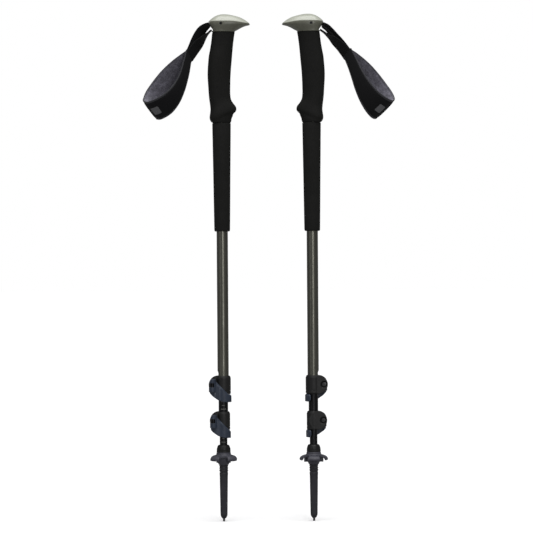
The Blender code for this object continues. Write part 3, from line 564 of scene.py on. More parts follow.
# %% Ferrule with its threaded neck and dome
THREAD_ROOT, THREAD_CREST, THREAD_PITCH = 5.6, 6.2, 3.2
DOME_RADIUS, DOME_HOLLOW = 9.6, 12
dome, top = DOME_RADIUS, BASKET_TOP
outline = [(0, TIP_TOP + 0.4), (5.0, TIP_TOP + 0.4), (5.45, TIP_TOP + 0.5), (THREAD_ROOT, TIP_TOP + 0.9)]
for ring in (2, 1, 0):
    crest = BASKET_FOOT - 1.35 - ring * THREAD_PITCH
    outline += [(THREAD_ROOT, crest - 0.95), (6.12, crest - 0.42), (THREAD_CREST, crest - 0.2),
                (THREAD_CREST, crest + 0.2), (6.12, crest + 0.42), (THREAD_ROOT, crest + 0.95)]
outline += [(THREAD_ROOT, top + 0.3), (dome - 0.5, top + 0.3), (dome - 0.1, top + 0.5), (dome, top + 0.9),
            (dome, top + 2.0), (dome - 0.25, top + 2.2), (dome - 0.25, top + 2.6)]
outline += [(dome - 0.15 - 1.2 * (i / 6) ** 2.2, top + 2.8 + 5.2 * i / 6) for i in range(7)]
outline += [(8.0, DOME_TOP - 1.1), (7.3, DOME_TOP - 0.35), (6.7, DOME_TOP), (5.5, DOME_TOP),
            (5.5, DOME_TOP - DOME_HOLLOW), (0, DOME_TOP - DOME_HOLLOW)]
sleeve = turned("ferrule_sleeve", outline, 72)
for material in (ferrule_nylon, tip_nylon):
    sleeve.data.materials.append(material.material)
for face in sleeve.data.polygons:
    face.material_index = int(face.center.z < BASKET_FOOT)
stand(shade(sleeve, 30), "lower_section", None, ["ferrule"])

# %% [markdown]
# ## Mud basket
# The basket is one moulding: a hub that screws on the neck, and a flange whose four petals droop and
# end in a rolled lip. It is spun as a full disc first. Round cutters then bite four scallops out of
# its rim, a remesh rounds every edge as the mould would, and small ribs brace the petals to the hub.
# The two baskets stand turned differently, because each was screwed home to a different stop.

# %% Basket
BASKET_HUB, PETALS, PETAL_REACH = 9.8, 4, 19.45
NOTCH_RADIUS, NOTCH_OUT = 6.3, BASKET_HUB + 8.7
DRAIN_RADIUS, DRAIN_OUT, DRAIN_ASIDE = 1.5, 12.6, 17
FIRST_PETAL = {"left": 45, "right": 0}
hub, reach, low = BASKET_HUB, PETAL_REACH, BASKET_FOOT


def upright(radius, out, degrees, bottom, top, sides):
    """An upright cutter, so far out from the axis and at a bearing."""
    at = Vector((out * math.cos(math.radians(degrees)), out * math.sin(math.radians(degrees)), 0))
    return rod(radius, at + Vector((0, 0, bottom)), at + Vector((0, 0, top)), sides)


for side in SIDES:
    outline = [
        (5.9, BASKET_TOP), (hub - 0.5, BASKET_TOP), (hub, BASKET_TOP - 0.5), (hub + 0.1, low + 14.4),
        (hub + 0.9, low + 13.5), (hub + 3.0, low + 12.9), (reach - 4.4, low + 12.2), (reach - 2.0, low + 10.9),
        (reach - 0.4, low + 8.9), (reach, low + 7.2), (reach - 0.5, low + 5.9), (reach - 1.8, low + 5.4),
        (reach - 3.1, low + 6.0), (reach - 3.7, low + 7.4), (reach - 4.6, low + 8.9), (reach - 6.2, low + 9.9),
        (hub + 1.6, low + 10.3), (hub + 0.3, low + 9.6), (hub, low + 8.6), (hub - 0.3, low + 6.4),
        (hub - 2.0, low + 2.4), (6.7, low), (5.9, low),
    ]
    disc = turned("mud_basket", outline, 72, closed=True)
    petals = [FIRST_PETAL[side] + 360 / PETALS * i for i in range(PETALS)]
    cut(disc, *[upright(NOTCH_RADIUS, NOTCH_OUT, bearing + 180 / PETALS, low - 1, low + 19, 40)
                for bearing in petals])
    for bearing in petals:
        rib = block((hub - 2.2, -0.7, low + 3.2), (hub + 3.4, 0.7, low + 10.9))
        rib.data.transform(Matrix.Rotation(math.radians(bearing), 4, "Z"))
        cut(disc, rib, operation="UNION")
    cut(disc, *[upright(DRAIN_RADIUS, DRAIN_OUT, bearing + aside, low + 8, low + 16, 20)
                for bearing in petals for aside in (-DRAIN_ASIDE, DRAIN_ASIDE)])
    soften(disc, 0.32, 3, 0.35)
    stand(shade(disc, 50), "mud_basket", basket_nylon, ["basket"], [side])

# %% [markdown]
# ## Tubes
# The three tubes nest, and each one's end is squeezed by the lock of the next. A tube is a thin
# closed profile, spun. The upper one shows the round relief at the top of its slit, just above the
# collar at the back, so a slot and a hole are cut there.

# %% The three tubes
WALL, SLIT_HALF = 0.7, 0.8
COLLAR_TOPS = {which: lock[0] + LOCK_ABOVE for which, lock in LOCKS.items()}
for name, radius, body, slot, finish, relief, above in (
    ("lower", LOWER_RADIUS, "lower_section", "dark_tube_metal", black_tube, None, None),
    ("middle", MIDDLE_RADIUS, "middle_section", "dark_tube_metal", black_tube, 2.8, COLLAR_TOPS["lower"] - 4.2),
    ("upper", UPPER_RADIUS, "upper_section", "tube_metal", olive_tube, 4.3, COLLAR_TOPS["upper"] + 2.4),
):
    bottom, top = heights(f"{name}_tube")
    inner, bevel = radius - WALL, 0.15
    outline = [(inner, bottom + bevel), (inner + bevel, bottom), (radius - bevel, bottom), (radius, bottom + bevel),
               (radius, top - bevel), (radius - bevel, top), (inner + bevel, top), (inner, top - bevel)]
    shaft = turned(f"{name}_shaft", outline, 72, closed=True)
    if relief:
        slit = block((-radius - 2, -SLIT_HALF, bottom - 1), (-radius + 2, SLIT_HALF, above))
        cut(shaft, slit, rod(relief, (-radius - 2, 0, above), (-radius + 3, 0, above), 40))
    stand(shade(shaft, 40), body, finish, [f"{name}_tube"])

# %% [markdown]
# ### Length marks
# The two inner tubes are printed with a scale, so that both poles can be set to one length. A tick
# is a tiny sheet bent round the tube. An Array modifier repeats it every centimetre, with shorter
# ticks half way, so the print is there whenever a tube is drawn out.

# %% Printed ticks
print_ink = flecked("scale_print", (0.20, 0.20, 0.185), 0.6, 900, (0.09, 0.09, 0.083), (0.24, 0.24, 0.22), 4, 0.55)
TICK_PITCH, TICK_HEIGHT, INK = 10.0, 0.7, 0.05
LONG_TICK, SHORT_TICK = 62, 34


def ticks(radius, low, high, spread):
    """A column of ticks on the near side of a tube, each as wide as its spread in degrees."""
    lay_down()
    bpy.ops.mesh.primitive_grid_add(x_subdivisions=8, y_subdivisions=1, size=1)
    tick = bpy.context.object
    for spot in tick.data.vertices:
        bearing = math.radians(-90 + spot.co.x * spread)
        spot.co = (radius * math.cos(bearing), radius * math.sin(bearing), low + spot.co.y * TICK_HEIGHT)
    apply(tick, "ARRAY", count=int((high - low) / TICK_PITCH), use_relative_offset=False,
          use_constant_offset=True, constant_offset_displace=(0, 0, TICK_PITCH))
    return apply(tick, "SOLIDIFY", thickness=INK, offset=1.0)


for name, radius, low in (("lower", LOWER_RADIUS, DOME_TOP + 4), ("middle", MIDDLE_RADIUS, COLLAR_TOPS["lower"] + 3.5)):
    high = heights(f"{name}_tube")[1] - 25
    columns = [ticks(radius + 0.01, low + start, high, spread)
               for start, spread in ((0, LONG_TICK), (TICK_PITCH / 2, SHORT_TICK))]
    stand(joined(f"{name}_scale", columns), f"{name}_section", print_ink)

# %% [markdown]
# ## Lever locks
# Each lock is a split collar, a screw across its two ears, a barrel nut and a lever. The collar is
# a ring that a boolean joins to a round ear. It is then bored, slit and counterbored, and a fine
# remesh rounds every edge, as a mould does. Modelling the fillets by hand would take longer and look
# the same on matt black nylon.

# %% Lock sizes
COLLAR_WALL = 2.7
EAR_RADIUS, EAR_BACK, EAR_FRONT, EAR_INSET, SCREW_OUT = 12.4, 5.5, 9.0, 3.1, 4.2
SCREW_RADIUS, HEAD_RADIUS, HEAD_HEIGHT = 1.5, 3.4, 2.3
NUT_RADIUS, FIT, HUB_WALL = 2.9, 0.3, 1.5
HUB_RADIUS = NUT_RADIUS + FIT + HUB_WALL
HUB_Y = -(EAR_BACK + FIT + HUB_RADIUS)
HUB_ABOVE, HUB_BELOW = 8.3, 9.4
SLOT_HALF, SHOULDER = 0.9, 3.4


def lock_numbers(which):
    """A lock's screw height, its tubes' radii, its collar's radius, its ear's and screw's X, and its body."""
    height, outer, inner, body = LOCKS[which]
    radius = outer + COLLAR_WALL
    return height, outer, inner, radius, EAR_INSET - radius, -(radius + SCREW_OUT), body


print("locks at heights", [round(LOCKS[w][0], 1) for w in LOCKS], "hub beside the axis by", round(HUB_Y, 2))

# %% Collar with ear, bore, slit and screw seat
for which in LOCKS:
    height, outer, inner, radius, ear, screw, body = lock_numbers(which)
    bottom, top = height - LOCK_ABOVE, height + LOCK_ABOVE
    outline = [(0, top), (outer + 1.15, top), (outer + 1.6, top - 0.25), (radius - 0.35, top - 2.2),
               (radius, top - 3.2), (radius, bottom + 5.0), (radius - 0.35, bottom + 4.6),
               (radius - 0.35, bottom + 4.0), (radius, bottom + 3.6), (radius, bottom + 0.9),
               (radius - 0.3, bottom + 0.2), (radius - 0.9, bottom), (0, bottom)]
    collar = turned(f"{which}_clamp", outline, 72)
    cut(collar, rod(EAR_RADIUS, (ear, -EAR_BACK, height), (ear, EAR_FRONT, height), 72), operation="UNION")
    shoulder = bottom + SHOULDER
    seat = EAR_FRONT - HEAD_HEIGHT - 2 * FIT
    cut(collar, rod(outer + FIT, (0, 0, shoulder), (0, 0, top + 5), 64),
        rod(inner + FIT, (0, 0, bottom - 5), (0, 0, shoulder + 1), 64),
        block((-60, -SLOT_HALF, bottom - 5), (-inner, SLOT_HALF, top + 5)))
    bores = ((SCREW_RADIUS + FIT, -20, 24), (HEAD_RADIUS + 0.6, seat, 40), (HEAD_RADIUS + 1.5, EAR_FRONT - 0.9, 40))
    for bore, start, sides in bores:
        cut(collar, rod(bore, (screw, start, height), (screw, 20, height), sides))
    soften(collar, 0.30, 3, 0.30)
    stand(shade(collar, 45), body, collar_nylon, [f"{which}_lock_collar"])

# %% [markdown]
# ### Levers
# A lever is a leaf that hugs the collar, narrows towards its tip, and hooks round below the collar.
# It swings on a hub round the barrel nut. The leaf is a grid rolled up: each ring is its section at
# one bearing, with a broad chamfer on the outer top edge that catches the light. The hub is then
# joined, bored for the nut, and opened by a window that lets the screw through.

# %% Lever sizes and the leaf's lower edge
LEAF_HALF, LEAF_STEPS = 1.1, 60
LEAF_LOWER_EDGE = ((-18.5, -9.6), (-13.6, -15.3), (-6.8, -20.2), (0.0, -22.6), (6.0, -23.2))
LEAF_END, TIP_ROUND_FROM, BEND_END = 68.0, 48, -104
TIP_ROUND, TOP_SLOPE = 3.2, 0.98
WINDOW_HALF = 2.9


def edge_height(x):
    """The height of the leaf's lower edge at x, above the screw."""
    xs, zs = zip(*LEAF_LOWER_EDGE)
    return float(np.interp(x, xs, zs))


def leaf_section(bottom, top):
    """A ring round the leaf's section: how far out, and how high."""
    h, s = LEAF_HALF, 0.55
    return [(-h, bottom + s), (-h + s * 0.3, bottom + s * 0.3), (-h + s, bottom), (0, bottom), (h - s, bottom),
            (h - s * 0.3, bottom + s * 0.3), (h, bottom + s), (h, bottom + 2.0), (h, (top + bottom) / 2),
            (h, top - 2.8), (h, top - 2.0), (h - 0.7, top - 1.1), (h - 1.4, top - 0.3), (h - 1.6, top), (-h + s, top),
            (-h + s * 0.3, top - s * 0.3), (-h, top - s), (-h, (top + bottom) / 2)]


# %% The levers
for which in LOCKS:
    height, outer, inner, radius, ear, screw, body = lock_numbers(which)
    beside, below = radius + FIT + LEAF_HALF, radius - 0.5
    hub_reach, hub_bearing = math.hypot(screw, HUB_Y), math.degrees(math.atan2(HUB_Y, screw))
    under = -LOCK_ABOVE - 0.5
    first = hub_bearing - 7
    rows = []
    for i in range(LEAF_STEPS + 1):
        bearing = first + i * (LEAF_END - first) / LEAF_STEPS
        turn = math.radians(bearing)
        reach = beside + (below - beside) * ease((bearing + 34) / 28)
        if bearing < BEND_END:
            share = min((bearing - hub_bearing) / (BEND_END - hub_bearing), 1.0)
            reach = hub_reach + (beside - hub_reach) * math.sin(share * math.pi / 2)
        x = reach * math.cos(turn)
        top = under if bearing > -20 else max(HUB_ABOVE - TOP_SLOPE * max(x - screw - 1.0, 0.0), under)
        bottom = edge_height(x) if bearing < 0 else LEAF_LOWER_EDGE[-1][1]
        rounding = max(bearing - TIP_ROUND_FROM, 0) / (LEAF_END - TIP_ROUND_FROM)
        pinch = TIP_ROUND * (1 - math.sqrt(max(1 - rounding * rounding, 0.0)))
        ring = [(reach + out, height + z) for out, z in leaf_section(bottom + pinch, top - pinch)]
        rows.append([(r * math.cos(turn), r * math.sin(turn), z) for r, z in ring])
    lever = rolled(f"{which}_cam_lever", rows)
    hub = [(screw, HUB_Y, height - HUB_BELOW), (screw, HUB_Y, height + HUB_ABOVE)]
    cut(lever, rod(HUB_RADIUS, *hub, 56), operation="UNION")
    cut(lever, rod(NUT_RADIUS + FIT, (screw, HUB_Y, height - HUB_BELOW + 0.5), (screw, HUB_Y, height + 30), 40),
        block((screw - 12, HUB_Y - 12, height - WINDOW_HALF), (screw + 2.4, HUB_Y + 9, height + WINDOW_HALF)))
    corner = block((ear - 20, HUB_Y - 8, height + 3), (ear - 5.5, HUB_Y + 8, height + 14))
    cut(corner, rod(EAR_RADIUS, (ear, HUB_Y - 9, height), (ear, HUB_Y + 9, height), 72))
    cut(lever, corner)
    soften(lever, 0.24, 3, 0.30)
    stand(shade(lever, 45), f"{which}_lever", lever_nylon, [f"{which}_lock_lever"])

# %% [markdown]
# ### Screws
# The screw is a spun profile with a domed head. A six-sided cutter makes the socket for the key.

# %% Tension screws
KEY_RADIUS, KEY_DEPTH = 1.55, 1.3
for which in LOCKS:
    height, outer, inner, radius, ear, screw, body = lock_numbers(which)
    head = EAR_FRONT - HEAD_HEIGHT - FIT
    crown, end = head + HEAD_HEIGHT, HUB_Y - 1.9
    outline = [(0, crown), (2.2, crown), (HEAD_RADIUS - 0.55, crown - 0.12), (HEAD_RADIUS - 0.15, crown - 0.5),
               (HEAD_RADIUS, crown - 1.0), (HEAD_RADIUS, head + 0.1), (HEAD_RADIUS - 0.1, head), (SCREW_RADIUS, head),
               (SCREW_RADIUS, end + 0.3), (SCREW_RADIUS - 0.3, end), (0, end)]
    bolt = turned(f"{which}_socket_bolt", outline, 48)
    cut(bolt, rod(KEY_RADIUS, (0, 0, crown - KEY_DEPTH), (0, 0, head + 10), 6))
    bolt.data.transform(Matrix.Translation((screw, 0, height)) @ Matrix.Rotation(-math.pi / 2, 4, "X"))
    stand(shade(bolt, 30), f"{which}_tension_screw", bright_steel, [f"{which}_lock_screw"])

# %% [markdown]
# ## Foam sleeve and grip
# The long sleeve is plain turned foam with a ground chamfer at its foot. The grip above it changes
# section all the way up: it is broad at the finger ledge, narrow where the fingers go, fuller for
# the palm, and it flares forward under the cap. Each ring is two half ellipses that meet where the
# section is broadest, and smooth curves run through the measured sections.

# %% Extension foam
BORE = UPPER_RADIUS + FIT
middle = FOAM_FOOT + (GRIP_FOOT - FOAM_FOOT) / 2
sleeve_top = GRIP_FOOT - FIT
outline = [(BORE, FOAM_FOOT + 0.4), (BORE + 0.3, FOAM_FOOT), (9.5, FOAM_FOOT), (10.1, FOAM_FOOT + 0.35),
           (10.5, FOAM_FOOT + 1.1), (10.7, FOAM_FOOT + 2.2), (10.95, FOAM_FOOT + 20), (11.3, FOAM_FOOT + 46),
           (11.6, middle), (12.1, middle + 35), (12.6, sleeve_top - 0.9), (12.3, sleeve_top - 0.2),
           (12.0, sleeve_top), (BORE + 0.3, sleeve_top), (BORE, sleeve_top - 0.4)]
foam_sleeve = turned("foam_sleeve", outline, 72, closed=True)
stand(shade(foam_sleeve, 40), "upper_section", foam, ["extension_foam"])

# %% Rings for the grip and the cap
BROADEST = 0.36


def egg(front, back, half_width, height, sides=72, bluntness=1.0):
    """A ring at one height: two half ellipses that meet where the section is broadest."""
    broadest = -back + BROADEST * (front + back)
    ring = []
    for i in range(sides):
        angle = 2 * math.pi * i / sides
        along, across = math.cos(angle), half_width * math.sin(angle)
        if along > 0:
            ring.append((broadest + (front - broadest) * along, across, height))
        else:
            ring.append((broadest - (broadest + back) * (-along) ** bluntness, across, height))
    return ring


def eased_outline(table, steps):
    """The table's rows as (height, front, back, half width), with smooth rows between them."""
    heads = smooth_through([row[:3] for row in table], steps)
    tails = smooth_through([(row[0], row[3], 0) for row in table], steps)
    return [(head[0], head[1], head[2], tail[1]) for head, tail in zip(heads, tails)]


# %% Grip foam
GRIP_OUTLINE = (
    (0.0, 12.4, 12.4, 12.4), (2.5, 13.3, 14.8, 13.4), (6.5, 14.1, 16.1, 14.4), (10.5, 16.5, 15.8, 14.7),
    (14.5, 19.4, 15.2, 14.4), (18.5, 20.4, 14.9, 13.8), (22.5, 19.4, 15.2, 13.2), (27.0, 15.9, 15.7, 12.9),
    (32.0, 13.2, 16.4, 12.8), (38.0, 12.3, 17.0, 12.9), (46.0, 12.2, 17.5, 13.1), (66.5, 12.9, 18.5, 13.6),
    (88.5, 14.8, 17.0, 13.6), (99.0, 15.7, 15.1, 13.3), (110.0, 16.9, 13.3, 13.0), (120.0, 18.3, 12.2, 12.9),
    (122.9, 19.0, 11.7, 12.9),
)
rings = []
for height, front, back, half_width in eased_outline(GRIP_OUTLINE, 5):
    ring = egg(front, back, half_width, GRIP_FOOT + height)
    shaped = []
    for x, y, z in ring:
        bearing = math.atan2(y, x)
        ridge = 12.5 + 6.0 * math.cos(bearing)
        groove = math.exp(-(((height - ridge + 6.2) / 2.6) ** 2)) * (0.55 + 0.45 * math.cos(bearing))
        shrink = 1 - 0.085 * groove * ease(height / 3.0)
        shaped.append((x * shrink, y * shrink, z))
    rings.append(shaped)
lip = [(x * 0.965, y * 0.965, GRIP_FOOT) for x, y, z in rings[0]]
rings[0] = [(x, y, GRIP_FOOT + 0.5) for x, y, z in rings[0]]
crown = [(x * 0.975, y * 0.975, GRIP_TOP) for x, y, z in rings[-1]]
core = UPPER_RADIUS + 3 * FIT + 0.6
bore_top, bore_foot = [
    [(core * math.cos(2 * math.pi * i / 72), core * math.sin(2 * math.pi * i / 72), z) for i in range(72)]
    for z in (GRIP_TOP, GRIP_FOOT)
]
grip = rolled("grip_sleeve", [lip, *rings, crown, bore_top, bore_foot], closed=True)
stand(shade(grip, 40), "upper_section", foam, ["grip_foam"])

# %% [markdown]
# ## Cap
# The cap is two shells that meet at a fine seam. The body, whose darker olive is painted shade, has
# a channel at the back for the strap, and a pin across it. The pale lid is a long dome, drawn out to
# a beak in front. Both are rolled from the same kind of rings as the grip.

# %% Cap body
CAP_BODY_OUTLINE = (
    (-13.3, 18.4, 11.6, 13.1), (-12.9, 18.9, 11.95, 13.4), (-12.2, 19.5, 12.15, 13.6), (-11.5, 20.6, 12.3, 13.75),
    (-10.9, 22.0, 12.6, 13.9), (-8.3, 26.6, 13.9, 14.9), (-6.1, 31.3, 15.5, 15.8), (-4.3, 36.6, 17.0, 16.4),
    (-3.0, 38.6, 17.8, 16.65), (-2.1, 39.2, 17.9, 16.7), (-1.0, 39.3, 17.7, 16.6), (-0.25, 39.1, 17.4, 16.4),
    (-0.05, 38.8, 17.2, 16.2),
)
CHANNEL_HALF = 9.0
PIN_HEIGHT, PIN_BORE, PIN_SINK = CAP_FOOT + 10.3, 1.8, 2.3
BEAK_DIP = 2.4


def dipped(ring, share):
    """Lower a ring's front, so that the seam runs down to the tip of the beak."""
    return [(x, y, z - BEAK_DIP * share * ease((x - 14) / 25)) for x, y, z in ring]


def cap_rings(outline, dip):
    """A shell's rings, dipped by a share that depends on the height from the seam."""
    return [dipped(egg(front, back, half_width, CAP_SEAM + z, 96, 0.7), dip(z))
            for z, front, back, half_width in eased_outline(outline, 4)]


body_shell = rolled("cap_shell_body", cap_rings(CAP_BODY_OUTLINE, lambda z: ease((z + 5.5) / 5.5)))
cut(body_shell, rod(UPPER_RADIUS - FIT, (0, 0, CAP_FOOT - 9), (0, 0, CAP_FOOT + 0.8), 64), operation="UNION")
cut(body_shell, block((-40, -CHANNEL_HALF, CAP_FOOT + 1.4), (5.5, CHANNEL_HALF, CAP_SEAM + 20)),
    rod(PIN_BORE, (0, -40, PIN_HEIGHT), (0, 40, PIN_HEIGHT), 32),
    *[rod(PIN_SINK, (0, way * 16.15, PIN_HEIGHT), (0, way * 40, PIN_HEIGHT), 32) for way in (-1, 1)])
apply(body_shell, "BEVEL", width=0.25, segments=2, limit_method="ANGLE", angle_limit=math.radians(55))
stand(shade(body_shell, 40), "upper_section", cap_body_painted_shade, ["cap_body"])

# %% Cap lid
CAP_TOP_OUTLINE = (
    (0.3, 38.5, 16.8, 16.0), (0.5, 38.9, 17.0, 16.2), (1.2, 38.1, 16.5, 16.0), (2.6, 36.0, 15.2, 15.2),
    (4.6, 31.8, 13.0, 13.8), (6.9, 25.6, 9.8, 11.6), (8.9, 17.8, 6.0, 8.4), (10.2, 11.8, 2.0, 4.9),
    (10.65, 8.6, -0.4, 2.8), (10.8, 6.4, -2.0, 1.2),
)
lid = rolled("cap_lid", cap_rings(CAP_TOP_OUTLINE, lambda z: 1 - ease(z / 10)))
cut(lid, block((-8.0, -CHANNEL_HALF, CAP_SEAM - 10), (6.5, CHANNEL_HALF, CAP_SEAM + 4.2)))
stand(shade(lid, 50), "upper_section", cap_pale, ["cap_top"])

# %% [markdown]
# ## Wrist straps
# A strap has two runs of flat webbing, which leave the cap at the back and twist a quarter turn on
# their way to the waist, and a padded loop for the wrist. The two straps hang differently, because
# cloth never falls the same way twice, so each has its own route. Flat bands are modelled directly:
# a ring of points is carried along the route, turned by the way the band lies.

# %% The straps' routes
STRAPS = {
    "left": {
        "upper": ((-15.1, 0.0, 9.8, 14), (-18.4, 0.0, 8.6, 24), (-24.8, 0.0, 3.6, 42), (-29.4, 0.0, -3.2, 54),
                  (-34.0, 0.0, -13.2, 63), (-38.2, 0.0, -22.6, 58), (-42.2, 0.0, -30.6, 52), (-45.6, 0.2, -37.0, 46)),
        "lower": ((-12.4, 0.0, 2.6, 0), (-14.8, 0.0, 1.1, 0), (-18.6, -0.6, -3.2, 4), (-24.8, -2.6, -10.4, 26),
                  (-30.8, -2.9, -17.0, 48), (-36.2, -2.6, -24.0, 52), (-40.8, -2.3, -30.8, 50), (-44.2, -2.0, -36.2, 46)),
        "pad": ((-43.6, -4.8, -31.0), (-46.2, -10.5, -45.0), (-50.2, -16.0, -61.2), (-56.0, -20.8, -76.2),
                (-64.2, -24.4, -89.8), (-75.2, -25.5, -100.6), (-88.4, -21.5, -107.0), (-95.4, -12.0, -106.2),
                (-96.6, -1.0, -101.6), (-93.6, 8.5, -92.2), (-86.4, 14.5, -80.4), (-75.0, 15.5, -66.0),
                (-62.0, 11.0, -51.6), (-51.0, 5.6, -38.6), (-44.2, 2.6, -29.4)),
        "widths": (18.8, 17.8, 17.8, 21.5, 27.0, 32.0, 34.0, 34.5, 35.0, 35.5, 35.0, 34.0, 29.0, 20.0, 12.0),
        "waist_lie": (0.26, 0.22, -0.94), "pad_lie": (0.49, 0.56, -0.665), "near": 1,
    },
    "right": {
        "upper": ((-15.1, 0.0, 10.6, 7), (-18.0, 0.0, 9.5, 9), (-22.7, 0.0, 6.6, 13), (-28.3, 0.0, 0.8, 15),
                  (-33.6, 0.0, -6.0, 20), (-37.4, 0.0, -12.2, 34), (-41.6, 0.0, -19.0, 46), (-46.6, 0.0, -26.6, 53),
                  (-51.4, 0.2, -33.8, 54)),
        "lower": ((-12.4, 0.0, 2.5, 0), (-15.0, 0.0, 0.8, 0), (-19.0, -0.4, -2.4, 2), (-24.4, -1.6, -7.4, 10),
                  (-31.6, -2.9, -13.2, 34), (-39.6, -2.7, -20.2, 48), (-46.0, -2.3, -28.0, 54), (-50.8, -2.0, -35.0, 54)),
        "tail": ((-15.1, 0.2, 6.4, 0), (-17.6, 0.0, 5.0, 2), (-21.2, 0.0, 2.3, 4), (-25.6, 0.0, -3.2, 8),
                 (-29.6, 0.6, -8.6, 18), (-33.8, 1.6, -14.6, 34)),
        "pad": ((-48.8, -4.6, -28.6), (-55.2, -10.5, -43.4), (-61.0, -16.0, -58.6), (-67.2, -20.8, -73.2),
                (-74.8, -24.4, -87.2), (-83.6, -25.5, -99.0), (-92.2, -21.5, -106.2), (-98.4, -12.0, -107.6),
                (-100.8, -1.0, -102.8), (-98.2, 8.5, -93.4), (-91.6, 14.5, -81.4), (-82.0, 15.5, -66.8),
                (-71.2, 11.0, -51.8), (-58.8, 5.6, -36.8), (-49.4, 2.6, -27.4)),
        "widths": (16.7, 17.6, 19.2, 23.5, 28.5, 33.0, 36.5, 37.0, 36.0, 34.5, 32.5, 30.0, 25.0, 17.0, 11.0),
        "waist_lie": (0.50, 0.20, -0.84), "pad_lie": (0.66, 0.37, -0.65), "near": -1,
    },
}
WEBBING_WIDTH, WEBBING_THICK = 16.4, 1.6
PAD_END_THICK, PAD_THICK = 2.6, 4.0


def near_side(point, near):
    """A strap's point in its pole's frame, with the strap's near side at -Y (1) or at +Y (-1)."""
    return Vector((point[0], point[1] * near, point[2] + CAP_FOOT))


def heading(points, i):
    """The way that a line of points runs at one of them."""
    return points[min(i + 1, len(points) - 1)] - points[max(i - 1, 0)]


def axes_along(route, lies):
    """For each point of a route: the point, the way the band's width lies, and the way its face looks."""
    found = []
    for i, (point, lie) in enumerate(zip(route, lies)):
        along = heading(route, i).normalized()
        across = (lie - lie.dot(along) * along).normalized()
        found.append((point, across, along.cross(across).normalized()))
    return found


# %% Webbing runs
def webbing_route(rows, near, steps=8):
    """A webbing run's points and lies: its flat side turns from up to outwards by each row's twist."""
    places = smooth_through([row[:3] for row in rows], steps)
    twists = smooth_through([(row[3], 0, 0) for row in rows], steps)
    points, lies = [], []
    for i, (place, twist) in enumerate(zip(places, twists)):
        along = heading(places, i)
        forward = Vector((-along[2], 0, along[0])).normalized()
        turn = math.radians(twist[0])
        lie = forward * math.sin(turn) + Vector((0, math.cos(turn), 0))
        points.append(near_side(place, near))
        lies.append(Vector((lie.x, lie.y * near, lie.z)))
    return points, lies


BAND_SECTION = [(-1, 0), (-0.985, 0.6), (-0.95, 0.92), (-0.88, 0.9), (-0.6, 0.95), (-0.2, 1), (0.2, 1), (0.6, 0.95),
                (0.88, 0.9), (0.95, 0.92), (0.985, 0.6), (1, 0)]
BAND_RING = BAND_SECTION + [(u, -v) for u, v in BAND_SECTION[-2:0:-1]]


def band(name, stations, ring, width, thickness):
    """Carry a section along a route: width and thickness may change from point to point."""
    rows = []
    for i, (point, across, face) in enumerate(stations):
        w, t = width(i) / 2, thickness(i) / 2
        rows.append([point + across * (u * w) + face * (v * t) for u, v in ring])
    return rolled(name, rows)


RUNS = (("upper_ribbon", "upper", ["strap_upper_webbing"]), ("lower_ribbon", "lower", ["strap_lower_webbing"]),
        ("ribbon_tail", "tail", []))
for side, strap in STRAPS.items():
    for name, key, nodes in RUNS:
        if key in strap:
            stations = axes_along(*webbing_route(strap[key], strap["near"]))
            run = band(name, stations, BAND_RING, lambda i: WEBBING_WIDTH, lambda i: WEBBING_THICK)
            stand(shade(run, 50), "strap", webbing_cloth, nodes, [side])

# %% [markdown]
# ### Padded loops
# The loop is foam between a black facing and a heather lining, with a bound edge. So its section is
# crowned in the middle, dips at the row of stitches, and ends in a narrow rolled binding. Each of
# the three cloths is a material on the faces that it covers, chosen by the UV map's U, which says
# how far round the section a face is. A plain reflective patch lies on the outside near the foot of
# the loop.

# %% Section of the pad
PAD_HALF = [(-1.0, 0.0), (-0.99, 0.30), (-0.96, 0.46), (-0.92, 0.50), (-0.88, 0.46), (-0.855, 0.34), (-0.83, 0.44),
            (-0.76, 0.68), (-0.62, 0.86), (-0.40, 0.96), (-0.14, 1.0)]
PAD_TOP = PAD_HALF + [(-u, v) for u, v in reversed(PAD_HALF)]
PAD_RING = PAD_TOP + [(u, -v) for u, v in PAD_TOP[-2:0:-1]]
BOUND_OUTSIDE, BOUND_INSIDE = 0.86, 0.95
PAD_STEPS = 9


def pad_stations(strap):
    """The loop's points with their axes, its width at each, and how far each is from the waist, from 0 to 1."""
    smooth = smooth_through(strap["pad"], PAD_STEPS)
    widths = [spot.x for spot in smooth_through([(width, 0, 0) for width in strap["widths"]], PAD_STEPS)]
    count = len(smooth) - 1
    stations, shares = [], []
    for i, point in enumerate(smooth):
        share = ease(min(i, count - i) / count / 0.26)
        lie = Vector(strap["waist_lie"]).lerp(Vector(strap["pad_lie"]), share).normalized()
        along = heading(smooth, i).normalized()
        across = (lie - lie.dot(along) * along * (0.35 + 0.65 * share)).normalized()
        face = along.cross(across).normalized()
        near = strap["near"]
        turned_face = Vector((face.x, face.y * near, face.z)) * near
        stations.append((near_side(point, near), Vector((across.x, across.y * near, across.z)), turned_face))
        shares.append(share)
    return stations, widths, shares


def pad_thick(share):
    """The pad's thickness, thinner where it is sewn at the waist."""
    return PAD_END_THICK + (PAD_THICK - PAD_END_THICK) * share


# %% The pads, with their three cloths
PATCH_FROM, PATCH_TO = 50, 58
PATCH_WIDTH, PATCH_TAPER, PATCH_THICK = 12.0, 0.9, 0.3


def middle_u(piece, face):
    """U at the middle of a face in the UV map."""
    layer = piece.data.uv_layers[0].data
    return sum(layer[i].uv.x for i in face.loop_indices) / len(face.loop_indices)


